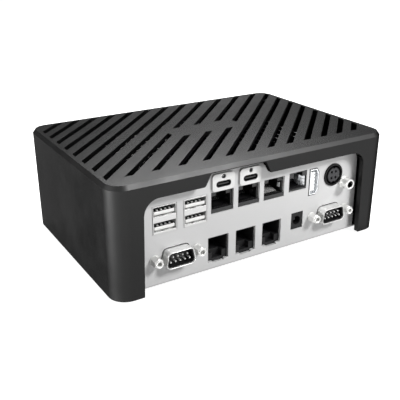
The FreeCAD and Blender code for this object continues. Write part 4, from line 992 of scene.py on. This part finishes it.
# ------------------------------------------------------------------ jackscrews
# Four hexagonal jackscrews of nickel-plated brass hold the serial sockets to the plate and
# take the cables' screws. Each has a washer face, a turned nose and a threaded hole.
SPACING = 24.99 * MM
nose = 6.1
hole = threaded(1.36, 1.6, nose - 0.35, 0.6, 0.16)
body = turned([(0, 1.5), (1.2, 1.5)] + hole + [(1.55, nose), (1.95, nose), (2.1, nose - 0.2),
              (2.1, nose - 0.9), (2.25, nose - 1.0), (2.4, nose - 1.25, 1), (2.4, 0.75, 1),
              (2.5, 0.6), (2.75, 0.5), (2.75, 0.02), (1.35, 0.02)], 36)
stud = turned([(1.35, 0.02), (1.35, -7.0), (0, -7.0)], 36)
nut = built("nut", turned([(1.36, -4.5), (2.2, -4.5), (2.4, -4.3, 1), (2.4, -2.7, 1),
                           (2.2, -2.5), (1.36, -2.5)], 36, closed=True))
screw_unit = joined("jackscrew", built("body", body), built("stud", stud), nut)
for vertex in screw_unit.data.vertices:
    vertex.co = FORWARD @ vertex.co
face_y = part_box("jackscrews")[0].y + nose * MM
left, right = middle_of("com_shell_left"), middle_of("com_shell_right")
dress(repeated("hexagon_jackscrews", screw_unit, satin_nickel, 2, 2,
               (left.x - SPACING / 2, face_y, left.z), (SPACING, 0, 0),
               (right.x - left.x, 0, 0)), satin_nickel, "jackscrews")


# ------------------------------------------------------------------ plain jacks
# Three eight-pole jacks without lights, moulded in black polyester, with the latch below.
# Eight sprung wires hang from the roof of each, their noses turned up.
matt_pbt = finish("matt_black_polyester", "#0B0B0C", 0.6, grain=0.25, relief=0.015, play=0.06,
                  patch=4, Specular_IOR_Level=0.28)
for number in (1, 2, 3):
    node = f"port_body_{number}"
    rounded(f"plain_jack_{number}", node, matt_pbt, 0.16)
low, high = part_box("port_contacts")
path = [(0.0, 0.0), (0.3, -0.22), (0.7, -0.3), (3.0, -0.6), (6.2, -1.25), (7.7, -1.5),
        (8.2, -1.35)]
first_x = middle_of("port_body_1").x
step = middle_of("port_body_2").x - first_x
dress(repeated("plain_jack_wires", built("wire", ribbon(path, 0.4, 0.26)), nickel_pins, 8, 3,
               (first_x - 3.5 * WIRE_PITCH, low.y, high.z - 0.16 * MM), (WIRE_PITCH, 0, 0),
               (step, 0, 0)), nickel_pins, "port_contacts")


# ------------------------------------------------------------------ switch socket
# A small square socket for a remote switch, moulded in black polyester round a steel post
# given a dark grey as painted shade. It looks matt and nearly black, with its rim just
# behind the plate's face.
rounded("switch_socket", "switch_body", matt_pbt, 0.16)
low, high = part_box("switch_pin")
radius, deep = (high.x - low.x) / 2 / MM, (high.y - low.y) / MM
post = turned([(0, 0), (radius, 0), (radius, deep - 0.3), (radius - 0.25, deep), (0, deep)])
x, _, z = middle_of("switch_pin")
dress(built("switch_post", set_in(post, (x, high.y, z), FORWARD)), shade_grey_steel, "switch_pin")


size = {"cad": [list(v) for v in cad_box], "visual": [list(v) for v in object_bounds()]}
